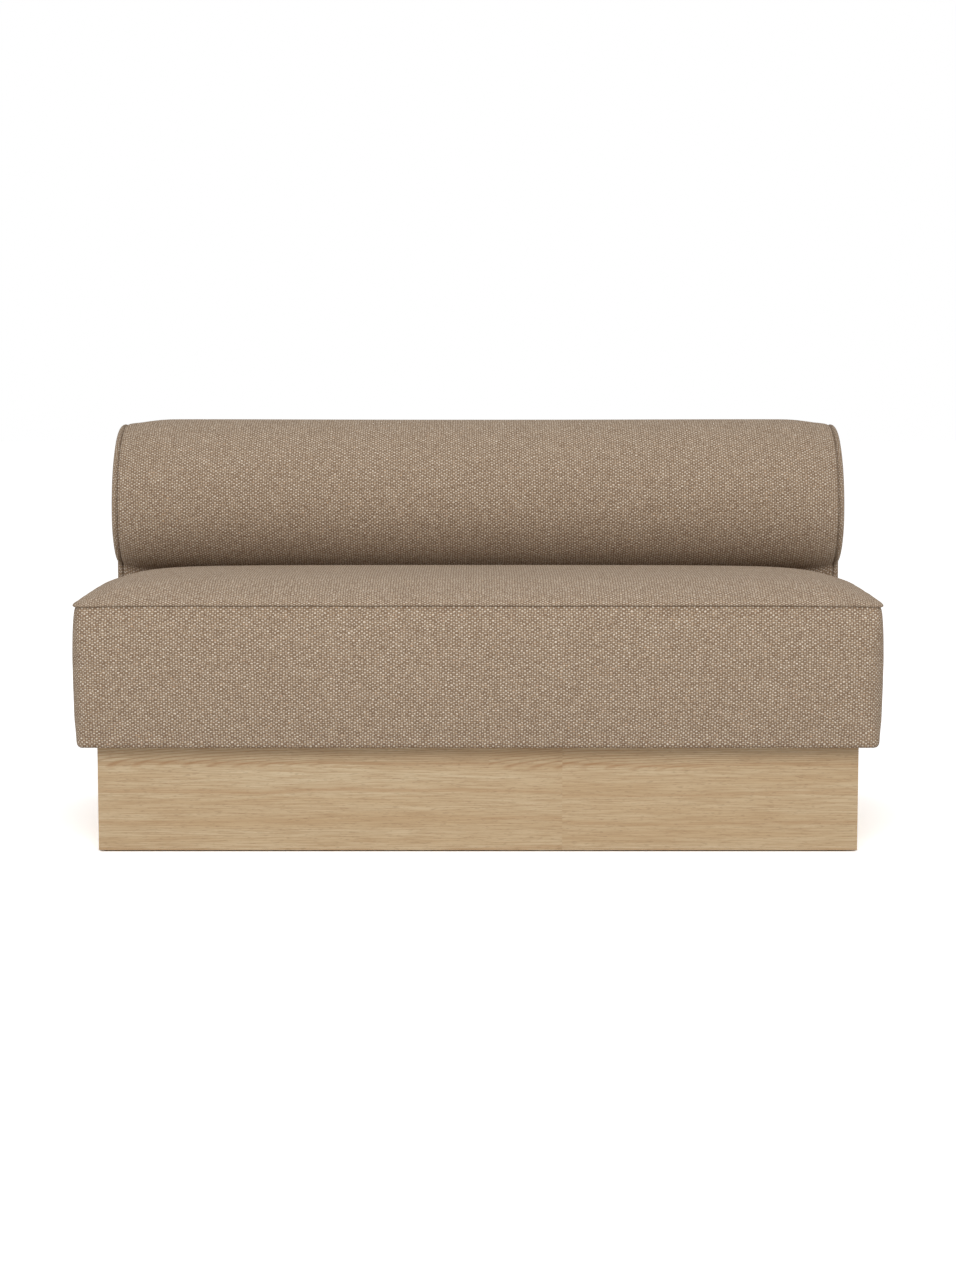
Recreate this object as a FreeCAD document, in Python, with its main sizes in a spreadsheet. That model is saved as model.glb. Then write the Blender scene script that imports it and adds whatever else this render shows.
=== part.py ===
import FreeCAD, Part
import math
import operator
import os
from types import SimpleNamespace

import Sketcher

# A two-seat dining sofa: an upholstered seat block and a bolster back on an oak-veneered plinth.
# Millimetres. +Z is up, +X runs along the width and the sofa faces -Y. The origin is on the floor,
# under the middle of the sofa.

SIZES = {
    # The whole sofa
    "seat_width": 1500,          # over the swollen sides of the seat
    "overall_depth": 750,        # seat front to rear of the back
    "overall_height": 790,       # floor to the top of the bolster
    # Plinth
    "foot_gap": 3,               # the panels stand this far off the floor
    "plinth_height": 200,
    "plinth_setback": 38,        # behind the seat's edge, all round
    "panel_thickness": 22,
    "block_width": 60,           # corner blocks, square in plan
    "block_recess": 12,          # underside of a block above the panel's lower edge
    "cleat_width": 26,           # square section
    "brace_thickness": 18,
    "brace_height": 130,
    # Levelling feet
    "pad_radius": 16,
    "pad_rim": 4,
    "pad_height": 10,
    "pad_floor": 3,              # thickness under the socket
    "ball_radius": 6,            # disc at the foot of the stud
    "ball_height": 4,
    "neck_radius": 4,
    "collar_radius": 8.5,
    "stud_radius": 4.9,
    "thread_clearance": 0.1,
    "swivel_clearance": 0.1,
    "collar_clearance": 0.2,     # between the collar and the insert when screwed right in
    "leveller_travel": 15,
    "thread_grip": 17,           # thread left in the insert at full travel
    "insert_radius": 7.5,
    "insert_length": 20,
    "flange_radius": 12,
    "flange_thickness": 2,
    # Seat outside
    "boxing_height": 263.5,      # underside to the sewn edge
    "side_bulge": 4.5,
    "bottom_edge_radius": 10,
    "seat_corner_radius": 16,
    "crown_height": 44,          # top of the cushion over the sewn edge
    "crown_run": 52,             # how far in the crown does most of its rise
    "seam_dip": 4,
    "seam_width": 3,
    "roll_rise": 5,              # the top panel rolls out over the seam
    "roll_proud": 1.8,
    "cover_thickness": 2,
    "soft_gap": 0.3,             # between layers of soft goods
    "lip_reach": 120,            # the boxing turned in under the frame
    "dust_cover_thickness": 1,
    "dust_cover_lap": 24,
    # Seat inside
    "side_padding": 28,          # seat's edge to the frame
    "rail_thickness": 25,
    "rail_height": 120,
    "cross_rail_thickness": 18,
    "cross_rail_height": 85,
    "cross_rail_offset": 240,
    "frame_block_length": 110,
    "frame_block_width": 60,
    "frame_block_height": 60,
    "felt_thickness": 2,
    # Zigzag springs
    "spring_count": 10,
    "spring_spacing": 140,
    "spring_bars": 25,
    "spring_bar_length": 30,
    "wire_radius": 1.9,
    "clip_width": 14,
    "clip_depth": 20,
    "clip_height": 7,
    "wire_height": 4,            # middle of the wire above the rail
    # Back outside
    "wrap_width": 1468,          # between the two end seams
    "gusset_puff": 12,           # the end panels swell past the seams
    "neck_depth": 140,
    "bolster_reach": 94,         # bolster in front of the neck
    "bolster_top_radius": 187,
    "bolster_under_radius": 122,
    "rear_top_radius": 40,
    "end_draw": 12,              # the wrap is drawn in towards its end seams
    "end_taper": 92,
    # Back inside
    "board_thickness": 15,
    "back_frame_width": 1400,
    "neck_board_height": 265,
    "bolster_board_setback": 55,  # behind the neck's front
    "bottom_rail_height": 25,
    "rib_thickness": 18,
    "rib_count": 5,
    # Fasteners
    "screw_radius": 2.5,
    "screw_head_radius": 5,
    "screw_head_height": 3,
    "screw_clearance": 0.15,
    "mount_screw_length": 50,
    "mount_screw_offset": 605,
    "cleat_screw_length": 40,
    "cleat_screw_offset": 500,
    "cleat_screw_inner_offset": 170,
    "block_screw_length": 74,
    "frame_screw_length": 75,
    "board_screw_length": 50,
    "bolt_radius": 4,
    "bolt_head_radius": 7.5,
    "bolt_head_height": 5.3,
    "bolt_length": 52,
    "bolt_clearance": 0.4,
    "bolt_offset": 560,
    "bolt_inner_offset": 190,
    "bolt_low": 42,              # above the underside of the frame
    "bolt_high": 95,
    "washer_radius": 12,
    "washer_thickness": 1.6,
    "tee_nut_radius": 5,
    "tee_nut_depth": 11,
    "tee_flange_radius": 10,
    "tee_flange_thickness": 1.5,
}

# Where the seat's sides swell most, as a share of the way up to the seam.
BULGE_PEAK = 0.7
# The crown's corners get rounder as it rises: radius gained for each millimetre inwards.
CROWN_ROUNDNESS = 0.4
# Power of the curve by which the wrap is drawn in towards its end seams.
DRAW_POWER = 2.4
# The end gusset's swell: share of its puff, and how far its outline lies inside its widest line.
GUSSET_SWELL = ((0, 6), (0.12, 2.2), (0.35, 0), (0.6, 1.4), (0.8, 4.5), (0.93, 10), (1, 20))

doc = FreeCAD.newDocument("dining_sofa")
sheet = doc.addObject("Spreadsheet::Sheet", "Sizes")
for row, (alias, number) in enumerate(SIZES.items(), start=1):
    sheet.set(f"A{row}", alias)
    sheet.set(f"B{row}", str(number))
    sheet.setAlias(f"B{row}", alias)
doc.recompute()

OPERATIONS = {
    "+": operator.add,
    "-": operator.sub,
    "*": operator.mul,
    "/": operator.truediv,
}


class Size:
    """A number with the sheet expression that gives it, so that sums of sizes stay tied to the sheet."""

    def __init__(self, value, text):
        self.value = value
        self.text = text

    def __add__(self, other):
        return joined(self, "+", other)

    def __sub__(self, other):
        return joined(self, "-", other)

    def __rsub__(self, other):
        return joined(other, "-", self)

    def __mul__(self, other):
        return joined(self, "*", other)

    def __rmul__(self, other):
        return joined(other, "*", self)

    def __truediv__(self, other):
        return joined(self, "/", other)

    def __neg__(self):
        return joined(0, "-", self)


def sized(thing):
    """A plain number as a Size."""
    return thing if isinstance(thing, Size) else Size(thing, str(thing))


def joined(left, sign, right):
    left = sized(left)
    right = sized(right)
    return Size(OPERATIONS[sign](left.value, right.value), f"({left.text} {sign} {right.text})")


S = SimpleNamespace(**{alias: Size(sheet.get(alias), f"Sizes.{alias}") for alias in SIZES})

# Planes that several pieces share
half_width = S.seat_width / 2
front = -S.overall_depth / 2
rear = S.overall_depth / 2
plinth_top = S.foot_gap + S.plinth_height
seam_z = plinth_top + S.boxing_height
neck_front = rear - S.neck_depth
seat_rear = neck_front - S.soft_gap
layer = S.cover_thickness + S.soft_gap

plinth_side = half_width - S.plinth_setback
plinth_front = front + S.plinth_setback
plinth_back = rear - S.plinth_setback
inner_side = plinth_side - S.panel_thickness
inner_front = plinth_front + S.panel_thickness
inner_back = plinth_back - S.panel_thickness
cleat_bottom = plinth_top - S.cleat_width

frame_bottom = plinth_top + S.cover_thickness
frame_side = half_width - S.side_padding
frame_front = front + S.side_padding
frame_back = seat_rear - layer
rail_top = frame_bottom + S.rail_height
felt_bottom = rail_top + S.clip_height
foam_bottom = felt_bottom + S.felt_thickness

wrap_half = S.wrap_width / 2
back_half = S.back_frame_width / 2
neck_board_front = neck_front + layer
neck_board_back = neck_board_front + S.board_thickness
rear_board_back = rear - layer
rear_board_front = rear_board_back - S.board_thickness
neck_board_top = frame_bottom + S.neck_board_height
top_rail_top = S.overall_height - S.rear_top_radius
top_rail_bottom = top_rail_top - S.board_thickness
bolster_board_front = neck_front + S.bolster_board_setback
bolster_board_back = bolster_board_front + S.board_thickness
bottom_rail_top = frame_bottom + S.bottom_rail_height

pieces = []


def named(label, thing):
    """Keep a finished sub-part under the name of its node."""
    thing.Label = label
    pieces.append(thing)
    return thing


# Building blocks

TURNS = {
    "+Z": FreeCAD.Rotation(),
    "+X": FreeCAD.Rotation(FreeCAD.Vector(0, 1, 0), 90),
    "-X": FreeCAD.Rotation(FreeCAD.Vector(0, 1, 0), -90),
    "+Y": FreeCAD.Rotation(FreeCAD.Vector(1, 0, 0), -90),
    "-Y": FreeCAD.Rotation(FreeCAD.Vector(1, 0, 0), 90),
}


def place(thing, x, y, z, axis="+Z"):
    thing.Placement = FreeCAD.Placement(FreeCAD.Vector(), TURNS[axis])
    for key, size in zip("xyz", (x, y, z)):
        thing.setExpression(f"Placement.Base.{key}", sized(size).text)
    return thing


def block(name, x, y, z):
    """A rectangular piece between two planes each way."""
    thing = doc.addObject("Part::Box", name)
    for side, (low, high) in zip(("Length", "Width", "Height"), (x, y, z)):
        thing.setExpression(side, joined(high, "-", low).text)
    return place(thing, x[0], y[0], z[0])


def rod(name, radius, at, length, axis="+Z"):
    thing = doc.addObject("Part::Cylinder", name)
    thing.setExpression("Radius", sized(radius).text)
    thing.setExpression("Height", sized(length).text)
    return place(thing, *at, axis)


def hexagon(name, radius, at, length, axis="+Z"):
    thing = doc.addObject("Part::Prism", name)
    thing.Polygon = 6
    thing.setExpression("Circumradius", sized(radius).text)
    thing.setExpression("Height", sized(length).text)
    return place(thing, *at, axis)


def group(name, members):
    thing = doc.addObject("Part::Compound", name)
    thing.Links = members
    return thing


def fused(name, members):
    thing = doc.addObject("Part::MultiFuse", name)
    thing.Shapes = members
    return thing


def cut(name, base, tools):
    """A piece with holes or hollows: the tools are taken out together."""
    thing = doc.addObject("Part::Cut", name)
    thing.Base = base
    thing.Tool = tools[0] if len(tools) == 1 else group(f"{name}_tools", tools)
    return thing


def common(name, base, tool):
    thing = doc.addObject("Part::Common", name)
    thing.Base = base
    thing.Tool = tool
    return thing


def moved(at, axis, step):
    """The point a step further along an axis such as -Y."""
    point = list(at)
    place_of = "XYZ".index(axis[1])
    point[place_of] = point[place_of] + step if axis[0] == "+" else point[place_of] - step
    return tuple(point)


def screw(name, at, length, axis):
    """A countersunk wood screw whose flat head lies in the surface at this point."""
    head = doc.addObject("Part::Cone", f"{name}_head")
    head.setExpression("Radius1", S.screw_head_radius.text)
    head.setExpression("Radius2", S.screw_radius.text)
    head.setExpression("Height", S.screw_head_height.text)
    place(head, *at, axis)
    shank_start = moved(at, axis, S.screw_head_height)
    shank = rod(f"{name}_shank", S.screw_radius, shank_start, length - 2 * S.screw_head_height, axis)
    tip = doc.addObject("Part::Cone", f"{name}_tip")
    tip.setExpression("Radius1", S.screw_radius.text)
    tip.Radius2 = 0
    tip.setExpression("Height", S.screw_head_height.text)
    place(tip, *moved(at, axis, length - S.screw_head_height), axis)
    return fused(name, [head, shank, tip])


def screw_hole(name, at, length, axis):
    """The countersink and pilot hole of a screw."""
    sink = doc.addObject("Part::Cone", f"{name}_sink")
    sink.setExpression("Radius1", (S.screw_head_radius + S.screw_clearance).text)
    sink.setExpression("Radius2", (S.screw_radius + S.screw_clearance).text)
    sink.setExpression("Height", S.screw_head_height.text)
    place(sink, *at, axis)
    pilot = rod(f"{name}_pilot", S.screw_radius + S.screw_clearance, at, length + S.screw_clearance, axis)
    return fused(name, [sink, pilot])


# Sketches

def origin_plane(body, role):
    return next(plane for plane in body.Origin.OriginFeatures if plane.Role == role)


def new_sketch(body, name, role, offset=0):
    sketch = body.newObject("Sketcher::SketchObject", name)
    sketch.AttachmentSupport = [(origin_plane(body, role), "")]
    sketch.MapMode = "FlatFace"
    sketch.setExpression("AttachmentOffset.Base.z", sized(offset).text)
    return sketch


def pin(sketch, curve, point, across=None, up=None):
    """Tie a point of a curve to its distances from the sketch's origin."""
    for kind, axis, size in (("DistanceX", -2, across), ("DistanceY", -1, up)):
        if size is None:
            continue
        size = sized(size)
        if size.text == "0":
            sketch.addConstraint(Sketcher.Constraint("PointOnObject", curve, point, axis))
            continue
        number = sketch.addConstraint(Sketcher.Constraint(kind, -1, 1, curve, point, size.value))
        sketch.setExpression(f"Constraints[{number}]", size.text)


START, END, CENTRE = 1, 2, 3


def tie(sketch, *ends):
    sketch.addConstraint(Sketcher.Constraint("Coincident", *ends))


def line(sketch, start, end):
    points = [FreeCAD.Vector(sized(x).value, sized(y).value, 0) for x, y in (start, end)]
    return sketch.addGeometry(Part.LineSegment(*points))


def arc(sketch, centre, radius, first, last):
    """An arc of this centre and radius, anticlockwise between two angles in degrees."""
    middle = FreeCAD.Vector(sized(centre[0]).value, sized(centre[1]).value, 0)
    circle = Part.Circle(middle, FreeCAD.Vector(0, 0, 1), sized(radius).value)
    curve = sketch.addGeometry(Part.ArcOfCircle(circle, math.radians(first), math.radians(last)))
    pin(sketch, curve, CENTRE, *centre)
    number = sketch.addConstraint(Sketcher.Constraint("Radius", curve, sized(radius).value))
    sketch.setExpression(f"Constraints[{number}]", sized(radius).text)
    return curve


def level(sketch, kind, curve, point):
    """Hold an arc's end level with its centre, or above or below it."""
    sketch.addConstraint(Sketcher.Constraint(kind, curve, point, curve, CENTRE))


def polygon(sketch, points):
    """A closed outline of straight lines, each corner pinned."""
    lines = [line(sketch, points[i], points[(i + 1) % len(points)]) for i in range(len(points))]
    for i, curve in enumerate(lines):
        tie(sketch, curve, END, lines[(i + 1) % len(lines)], START)
        pin(sketch, curve, START, *points[i])


def rounded_outline(sketch, half, y_front, y_back, radius):
    """A rectangle with four round corners, the same about the sofa's middle."""
    right = half - radius
    near = y_front + radius
    far = y_back - radius
    corners = [
        arc(sketch, (right, near), radius, 270, 360),
        arc(sketch, (right, far), radius, 0, 90),
        arc(sketch, (-right, far), radius, 90, 180),
        arc(sketch, (-right, near), radius, 180, 270),
    ]
    for i, curve in enumerate(corners):
        level(sketch, "Horizontal" if i % 2 else "Vertical", curve, START)
        level(sketch, "Vertical" if i % 2 else "Horizontal", curve, END)
    sides = [
        line(sketch, (half, near), (half, far)),
        line(sketch, (right, y_back), (-right, y_back)),
        line(sketch, (-half, far), (-half, near)),
        line(sketch, (-right, y_front), (right, y_front)),
    ]
    for i, curve in enumerate(sides):
        tie(sketch, curve, START, corners[i], END)
        tie(sketch, curve, END, corners[(i + 1) % 4], START)


def back_outline(sketch, draw, shrink):
    """The back's side profile: neck, bolster and flat rear.

    draw pulls in the bolster's round and the top only, and shrink brings in every side.
    """
    bolster_front = neck_front - S.bolster_reach
    middle = S.overall_height - S.bolster_top_radius
    loss = sized(draw) + shrink
    under_centre = (bolster_front + S.bolster_under_radius, middle)
    over_centre = (bolster_front + S.bolster_top_radius, middle)
    corner_centre = (rear - S.rear_top_radius + draw, top_rail_top)
    under_radius = S.bolster_under_radius - loss
    over_radius = S.bolster_top_radius - loss
    corner_radius = S.rear_top_radius - loss
    neck = neck_front + shrink
    bottom = plinth_top + shrink
    top = S.overall_height - loss
    back = rear - shrink

    across = (neck.value - under_centre[0].value) / under_radius.value
    crease_angle = 360 - math.degrees(math.acos(across))
    crease = middle.value + under_radius.value * math.sin(math.radians(crease_angle))
    under = arc(sketch, under_centre, under_radius, 180, crease_angle)
    over = arc(sketch, over_centre, over_radius, 90, 180)
    corner = arc(sketch, corner_centre, corner_radius, 0, 90)
    level(sketch, "Horizontal", under, START)
    pin(sketch, under, END, across=neck)
    level(sketch, "Vertical", over, START)
    level(sketch, "Horizontal", over, END)
    level(sketch, "Horizontal", corner, START)
    level(sketch, "Vertical", corner, END)
    neck_line = line(sketch, (neck, crease), (neck, bottom))
    bottom_line = line(sketch, (neck, bottom), (back, bottom))
    rear_line = line(sketch, (back, bottom), (back, corner_centre[1]))
    top_line = line(sketch, (corner_centre[0], top), (over_centre[0], top))
    tie(sketch, neck_line, START, under, END)
    tie(sketch, neck_line, END, bottom_line, START)
    tie(sketch, bottom_line, END, rear_line, START)
    tie(sketch, rear_line, END, corner, START)
    tie(sketch, top_line, START, corner, END)
    tie(sketch, top_line, END, over, START)
    pin(sketch, bottom_line, START, neck, bottom)
    pin(sketch, bottom_line, END, back, bottom)


def lofted(body, sketches):
    """A solid through a row of outlines, straight from each one to the next."""
    loft = body.newObject("PartDesign::AdditiveLoft", f"{body.Name}_loft")
    loft.Profile = sketches[0]
    loft.Sections = sketches[1:]
    loft.Ruled = True
    return body


def padded(body, sketch, height):
    pad = body.newObject("PartDesign::Pad", f"{body.Name}_pad")
    pad.Profile = sketch
    pad.setExpression("Length", sized(height).text)
    return body


def revolved(name, points):
    """A turned piece: its outline, as radius and height, spun about Z."""
    body = doc.addObject("PartDesign::Body", name)
    sketch = new_sketch(body, f"{name}_outline", "XZ_Plane")
    polygon(sketch, points)
    turn = body.newObject("PartDesign::Revolution", f"{name}_turn")
    turn.Profile = sketch
    turn.ReferenceAxis = (sketch, ["V_Axis"])
    turn.Angle = 360
    return body


# Fastener positions, each written once for the fastener and for every hole it goes through

def both_sides(*offsets):
    return [side * offset for offset in offsets for side in (-1, 1)]


mount_spots = [
    (x, y)
    for y in (inner_front + S.cleat_width / 2, inner_back - S.cleat_width / 2)
    for x in both_sides(S.cross_rail_offset, S.mount_screw_offset)
]
cleat_spots = both_sides(S.cleat_screw_inner_offset, S.cleat_screw_offset)
bolt_spots = [
    (x, frame_bottom + height)
    for height in (S.bolt_low, S.bolt_high)
    for x in both_sides(S.bolt_inner_offset, S.bolt_offset)
]
corner_spots = [
    (x_side, y_side)
    for y_side in (-1, 1)
    for x_side in (-1, 1)
]
corner_names = ["front_left", "front_right", "back_left", "back_right"]


def mount_holes(name, y_side):
    """Bores for the screws that hold the front or the back of the upholstery down on the plinth."""
    chosen = [spot for spot in mount_spots if (spot[1].value > 0) == (y_side > 0)]
    start = cleat_bottom - S.screw_clearance
    length = S.mount_screw_length + 2 * S.screw_clearance
    radius = S.screw_radius + S.screw_clearance
    return [rod(f"{name}_mount_hole", radius, (x, y, start), length) for x, y in chosen]


def bolt_holes(name, radius):
    start = frame_back - S.rail_thickness - S.soft_gap
    length = S.bolt_length + S.bolt_head_height
    return [rod(f"{name}_bolt_hole", radius, (x, start, z), length, "+Y") for x, z in bolt_spots]


# Plinth

def corner_block_spot(x_side, y_side):
    """The middle of a corner block, where its levelling foot is."""
    x = x_side * (inner_side - S.block_width / 2)
    y = y_side * (plinth_back - S.panel_thickness - S.block_width / 2)
    return x, y


block_bottom = S.foot_gap + S.block_recess
flange_bottom = block_bottom - S.flange_thickness
collar_top = flange_bottom - S.collar_clearance
stud_top = collar_top + S.collar_clearance + S.flange_thickness + S.leveller_travel + S.thread_grip
side_screw_z = block_bottom + (cleat_bottom - block_bottom) * 0.5
end_screw_z = block_bottom + (cleat_bottom - block_bottom) * 0.75


def block_screw_starts():
    """Where the corner blocks' screws start, their axes and the panel that each one enters."""
    for x_side, y_side in corner_spots:
        x, y = corner_block_spot(x_side, y_side)
        side_axis = "+X" if x_side > 0 else "-X"
        end_axis = "+Y" if y_side > 0 else "-Y"
        side_name = "right" if x_side > 0 else "left"
        end_name = "back" if y_side > 0 else "front"
        yield (x - x_side * S.block_width / 2, y, side_screw_z), side_axis, side_name
        yield (x, y - y_side * S.block_width / 2, end_screw_z), end_axis, end_name


def cleat_screw_starts(end):
    """Where the screws of the front or back cleat start, and their axis."""
    y, axis = (inner_front + S.cleat_width, "-Y") if end == "front" else (inner_back - S.cleat_width, "+Y")
    return [((x, y, cleat_bottom + S.cleat_width / 2), axis) for x in cleat_spots]


def make_plinth():
    outer_near, outer_far = plinth_front, plinth_back
    outlines = {
        "front": [(-plinth_side, outer_near), (plinth_side, outer_near),
                  (inner_side, inner_front), (-inner_side, inner_front)],
        "back": [(plinth_side, outer_far), (-plinth_side, outer_far),
                 (-inner_side, inner_back), (inner_side, inner_back)],
        "left": [(-plinth_side, outer_far), (-plinth_side, outer_near),
                 (-inner_side, inner_front), (-inner_side, inner_back)],
        "right": [(plinth_side, outer_near), (plinth_side, outer_far),
                  (inner_side, inner_back), (inner_side, inner_front)],
    }
    block_screws = [(at, axis, panel) for at, axis, panel in block_screw_starts()]
    for end, outline in outlines.items():
        body = doc.addObject("PartDesign::Body", f"{end}_panel_blank")
        sketch = new_sketch(body, f"{end}_panel_outline", "XY_Plane", S.foot_gap)
        polygon(sketch, outline)
        padded(body, sketch, S.plinth_height)
        holes = [
            screw_hole(f"{end}_panel_hole", at, S.block_screw_length, axis)
            for at, axis, panel in block_screws
            if panel == end
        ]
        if end in ("front", "back"):
            holes += [
                screw_hole(f"{end}_panel_cleat_hole", at, S.cleat_screw_length, axis)
                for at, axis in cleat_screw_starts(end)
            ]
        named(f"plinth_{end}_panel", cut(f"{end}_panel", body, holes))

    blocks = []
    for x_side, y_side in corner_spots:
        x, y = corner_block_spot(x_side, y_side)
        half = S.block_width / 2
        blank = block("corner_block_blank", (x - half, x + half), (y - half, y + half),
                      (block_bottom, cleat_bottom))
        hole_radius = S.insert_radius + S.screw_clearance
        hole_depth = S.insert_length + S.screw_clearance
        insert_hole = rod("insert_hole", hole_radius, (x, y, block_bottom), hole_depth)
        stud_hole = rod("stud_hole", S.stud_radius + S.thread_clearance, (x, y, block_bottom),
                        stud_top - block_bottom + S.screw_head_height)
        screw_holes = [
            screw_hole("block_hole", at, S.block_screw_length, axis)
            for at, axis, panel in block_screws
            if abs(at[0].value - x.value) <= half.value and abs(at[1].value - y.value) <= half.value
        ]
        bored = cut("corner_block_bored", blank, [fused("foot_hole", [insert_hole, stud_hole])])
        blocks.append(cut("corner_block", bored, screw_holes))
    named("plinth_corner_blocks", group("corner_blocks", blocks))

    half = S.brace_thickness / 2
    brace_z = (cleat_bottom - S.brace_height, cleat_bottom)
    named("plinth_centre_brace", block("centre_brace", (-half, half), (inner_front, inner_back), brace_z))

    for end, y in (("front", (inner_front, inner_front + S.cleat_width)),
                   ("back", (inner_back - S.cleat_width, inner_back))):
        blank = block(f"{end}_cleat_blank", (-inner_side, inner_side), y, (cleat_bottom, plinth_top))
        holes = [
            screw_hole(f"{end}_cleat_hole", at, S.cleat_screw_length, axis)
            for at, axis in cleat_screw_starts(end)
        ]
        y_side = -1 if end == "front" else 1
        holes += mount_holes(f"{end}_cleat", y_side)
        named(f"plinth_{end}_cleat", cut(f"{end}_cleat", blank, holes))

    screws = [screw("block_screw", at, S.block_screw_length, axis) for at, axis, panel in block_screws]
    named("corner_block_screws", group("block_screws", screws))
    screws = [
        screw("cleat_screw", at, S.cleat_screw_length, axis)
        for end in ("front", "back")
        for at, axis in cleat_screw_starts(end)
    ]
    named("cleat_screws", group("cleat_screw_group", screws))


def make_mount_screws():
    """Pan-head screws up through the cleats into the seat and back frames."""
    screws = []
    for x, y in mount_spots:
        head = rod("mount_head", S.screw_head_radius, (x, y, cleat_bottom - S.screw_head_height),
                   S.screw_head_height)
        shank = rod("mount_shank", S.screw_radius, (x, y, cleat_bottom), S.mount_screw_length)
        screws.append(fused("mount_screw", [head, shank]))
    named("upholstery_mount_screws", group("mount_screws", screws))


# Levelling feet

def make_levellers():
    socket_radius = S.ball_radius + S.swivel_clearance
    socket_top = S.pad_floor + S.ball_height + 2 * S.swivel_clearance
    throat_radius = S.neck_radius + S.swivel_clearance
    boss_radius = socket_radius + S.pad_floor
    inserts = []
    for (x_side, y_side), corner in zip(corner_spots, corner_names):
        x, y = corner_block_spot(x_side, y_side)
        pad = revolved(f"pad_{corner}", [
            (0, 0), (S.pad_radius - 1, 0), (S.pad_radius, 1), (S.pad_radius, S.pad_rim),
            (boss_radius, S.pad_rim), (boss_radius, S.pad_height), (throat_radius, S.pad_height),
            (throat_radius, socket_top), (socket_radius, socket_top), (socket_radius, S.pad_floor),
            (0, S.pad_floor),
        ])
        named(f"leveller_pad_{corner}", place(pad, x, y, 0))

        ball_bottom = S.pad_floor + S.swivel_clearance
        ball_top = ball_bottom + S.ball_height
        collar_bottom = S.pad_height + S.swivel_clearance
        shaft = revolved(f"stud_shaft_{corner}", [
            (0, ball_bottom), (S.ball_radius, ball_bottom), (S.ball_radius, ball_top),
            (S.neck_radius, ball_top), (S.neck_radius, collar_top), (S.stud_radius, collar_top),
            (S.stud_radius, stud_top - 1), (S.stud_radius - 1, stud_top), (0, stud_top),
        ])
        place(shaft, x, y, 0)
        collar = hexagon("stud_collar", S.collar_radius, (x, y, collar_bottom), collar_top - collar_bottom)
        named(f"leveller_stud_{corner}", fused(f"stud_{corner}", [shaft, collar]))

        bore = S.stud_radius + S.thread_clearance
        insert = revolved(f"insert_{corner}", [
            (bore, flange_bottom), (S.flange_radius, flange_bottom), (S.flange_radius, block_bottom),
            (S.insert_radius, block_bottom), (S.insert_radius, block_bottom + S.insert_length),
            (bore, block_bottom + S.insert_length),
        ])
        inserts.append(place(insert, x, y, 0))
    named("leveller_inserts", group("inserts", inserts))


# Seat cushion: its outside, and the same form brought in for what lies under the cover

def seat_rows(shrink):
    """Outlines up the seat: height, how far in the sides are, how far in the rear is, corner radius."""
    bulge = S.side_bulge
    radius = S.seat_corner_radius - shrink
    rows = []
    for angle in (0, 30, 60, 90):
        lean = math.radians(angle)
        out = S.bottom_edge_radius * (1 - math.sin(lean))
        z = plinth_top + S.bottom_edge_radius * (1 - math.cos(lean)) + shrink
        rows.append((z, bulge + out + shrink, shrink, radius))
    for share in (0.25, 0.5, BULGE_PEAK, 0.88):
        reach = BULGE_PEAK if share < BULGE_PEAK else 1 - BULGE_PEAK
        z = plinth_top + S.boxing_height * share
        rows.append((z, bulge * ((share - BULGE_PEAK) / reach) ** 2 + shrink, shrink, radius))
    rows.append((seam_z - S.seam_width, bulge + shrink, shrink, radius))
    rows.append((seam_z, bulge + S.seam_dip + shrink, S.seam_dip + shrink, radius))
    roll_z = seam_z + S.roll_rise
    edge = bulge - S.roll_proud + shrink
    rows.append((roll_z, edge, shrink, radius))
    for share in (0.15, 0.3, 0.45, 0.6, 0.74, 0.86, 0.93, 0.97):
        run = S.crown_run * -math.log(1 - share)
        z = roll_z + (S.crown_height - S.roll_rise) * share - shrink
        rows.append((z, edge + run, run + shrink, radius + run * CROWN_ROUNDNESS))
    return rows


def seat_form(name, shrink):
    body = doc.addObject("PartDesign::Body", name)
    sketches = []
    for number, (z, side, back_side, radius) in enumerate(seat_rows(sized(shrink))):
        sketch = new_sketch(body, f"{name}_row_{number}", "XY_Plane", z)
        rounded_outline(sketch, half_width - side, front + side, seat_rear - back_side, radius)
        sketches.append(sketch)
    return lofted(body, sketches)


def make_seat_soft():
    outside = seat_form("seat_outside", 0)
    inside = seat_form("seat_cover_inside", S.cover_thickness)
    filling = seat_form("seat_filling", layer)
    shell = cut("seat_shell", outside, [inside])

    wide = (-S.seat_width, S.seat_width)
    deep = (-S.overall_depth, S.overall_depth)
    above = block("above_seam", wide, deep, (seam_z, S.overall_height))
    named("seat_cover_top", common("seat_top_panel", shell, above))

    lip = S.lip_reach
    opening_x = (-half_width + lip, half_width - lip)
    opening_y = (front + lip, seat_rear - lip)
    below = block("below_seam", wide, deep, (0, seam_z))
    band = common("seat_band", shell, below)
    opening = block("lip_opening", opening_x, opening_y, (0, frame_bottom))
    holes = [opening] + mount_holes("boxing", -1)
    holes += bolt_holes("boxing", S.bolt_radius + S.bolt_clearance)
    named("seat_cover_boxing", cut("boxing", band, holes))

    lap = S.dust_cover_lap
    dust_x = (opening_x[0] - lap, opening_x[1] + lap)
    dust_y = (opening_y[0] - lap, opening_y[1] + lap)
    dust_z = (plinth_top - S.dust_cover_thickness, plinth_top)
    named("seat_dust_cover", block("dust_cover", dust_x, dust_y, dust_z))

    core_space = block("core_space", wide, deep, (foam_bottom, S.overall_height))
    named("seat_foam_core", common("foam_core", filling, core_space))
    pad_z = (frame_bottom, foam_bottom)
    front_space = block("front_space", (-frame_side, frame_side), (front, frame_front), pad_z)
    named("seat_front_padding", common("front_padding", filling, front_space))
    for end, x in (("left", (-half_width, -frame_side)), ("right", (frame_side, half_width))):
        side_space = block(f"{end}_space", x, deep, pad_z)
        named(f"seat_{end}_padding", common(f"{end}_padding", filling, side_space))


# Seat frame and springs

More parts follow.
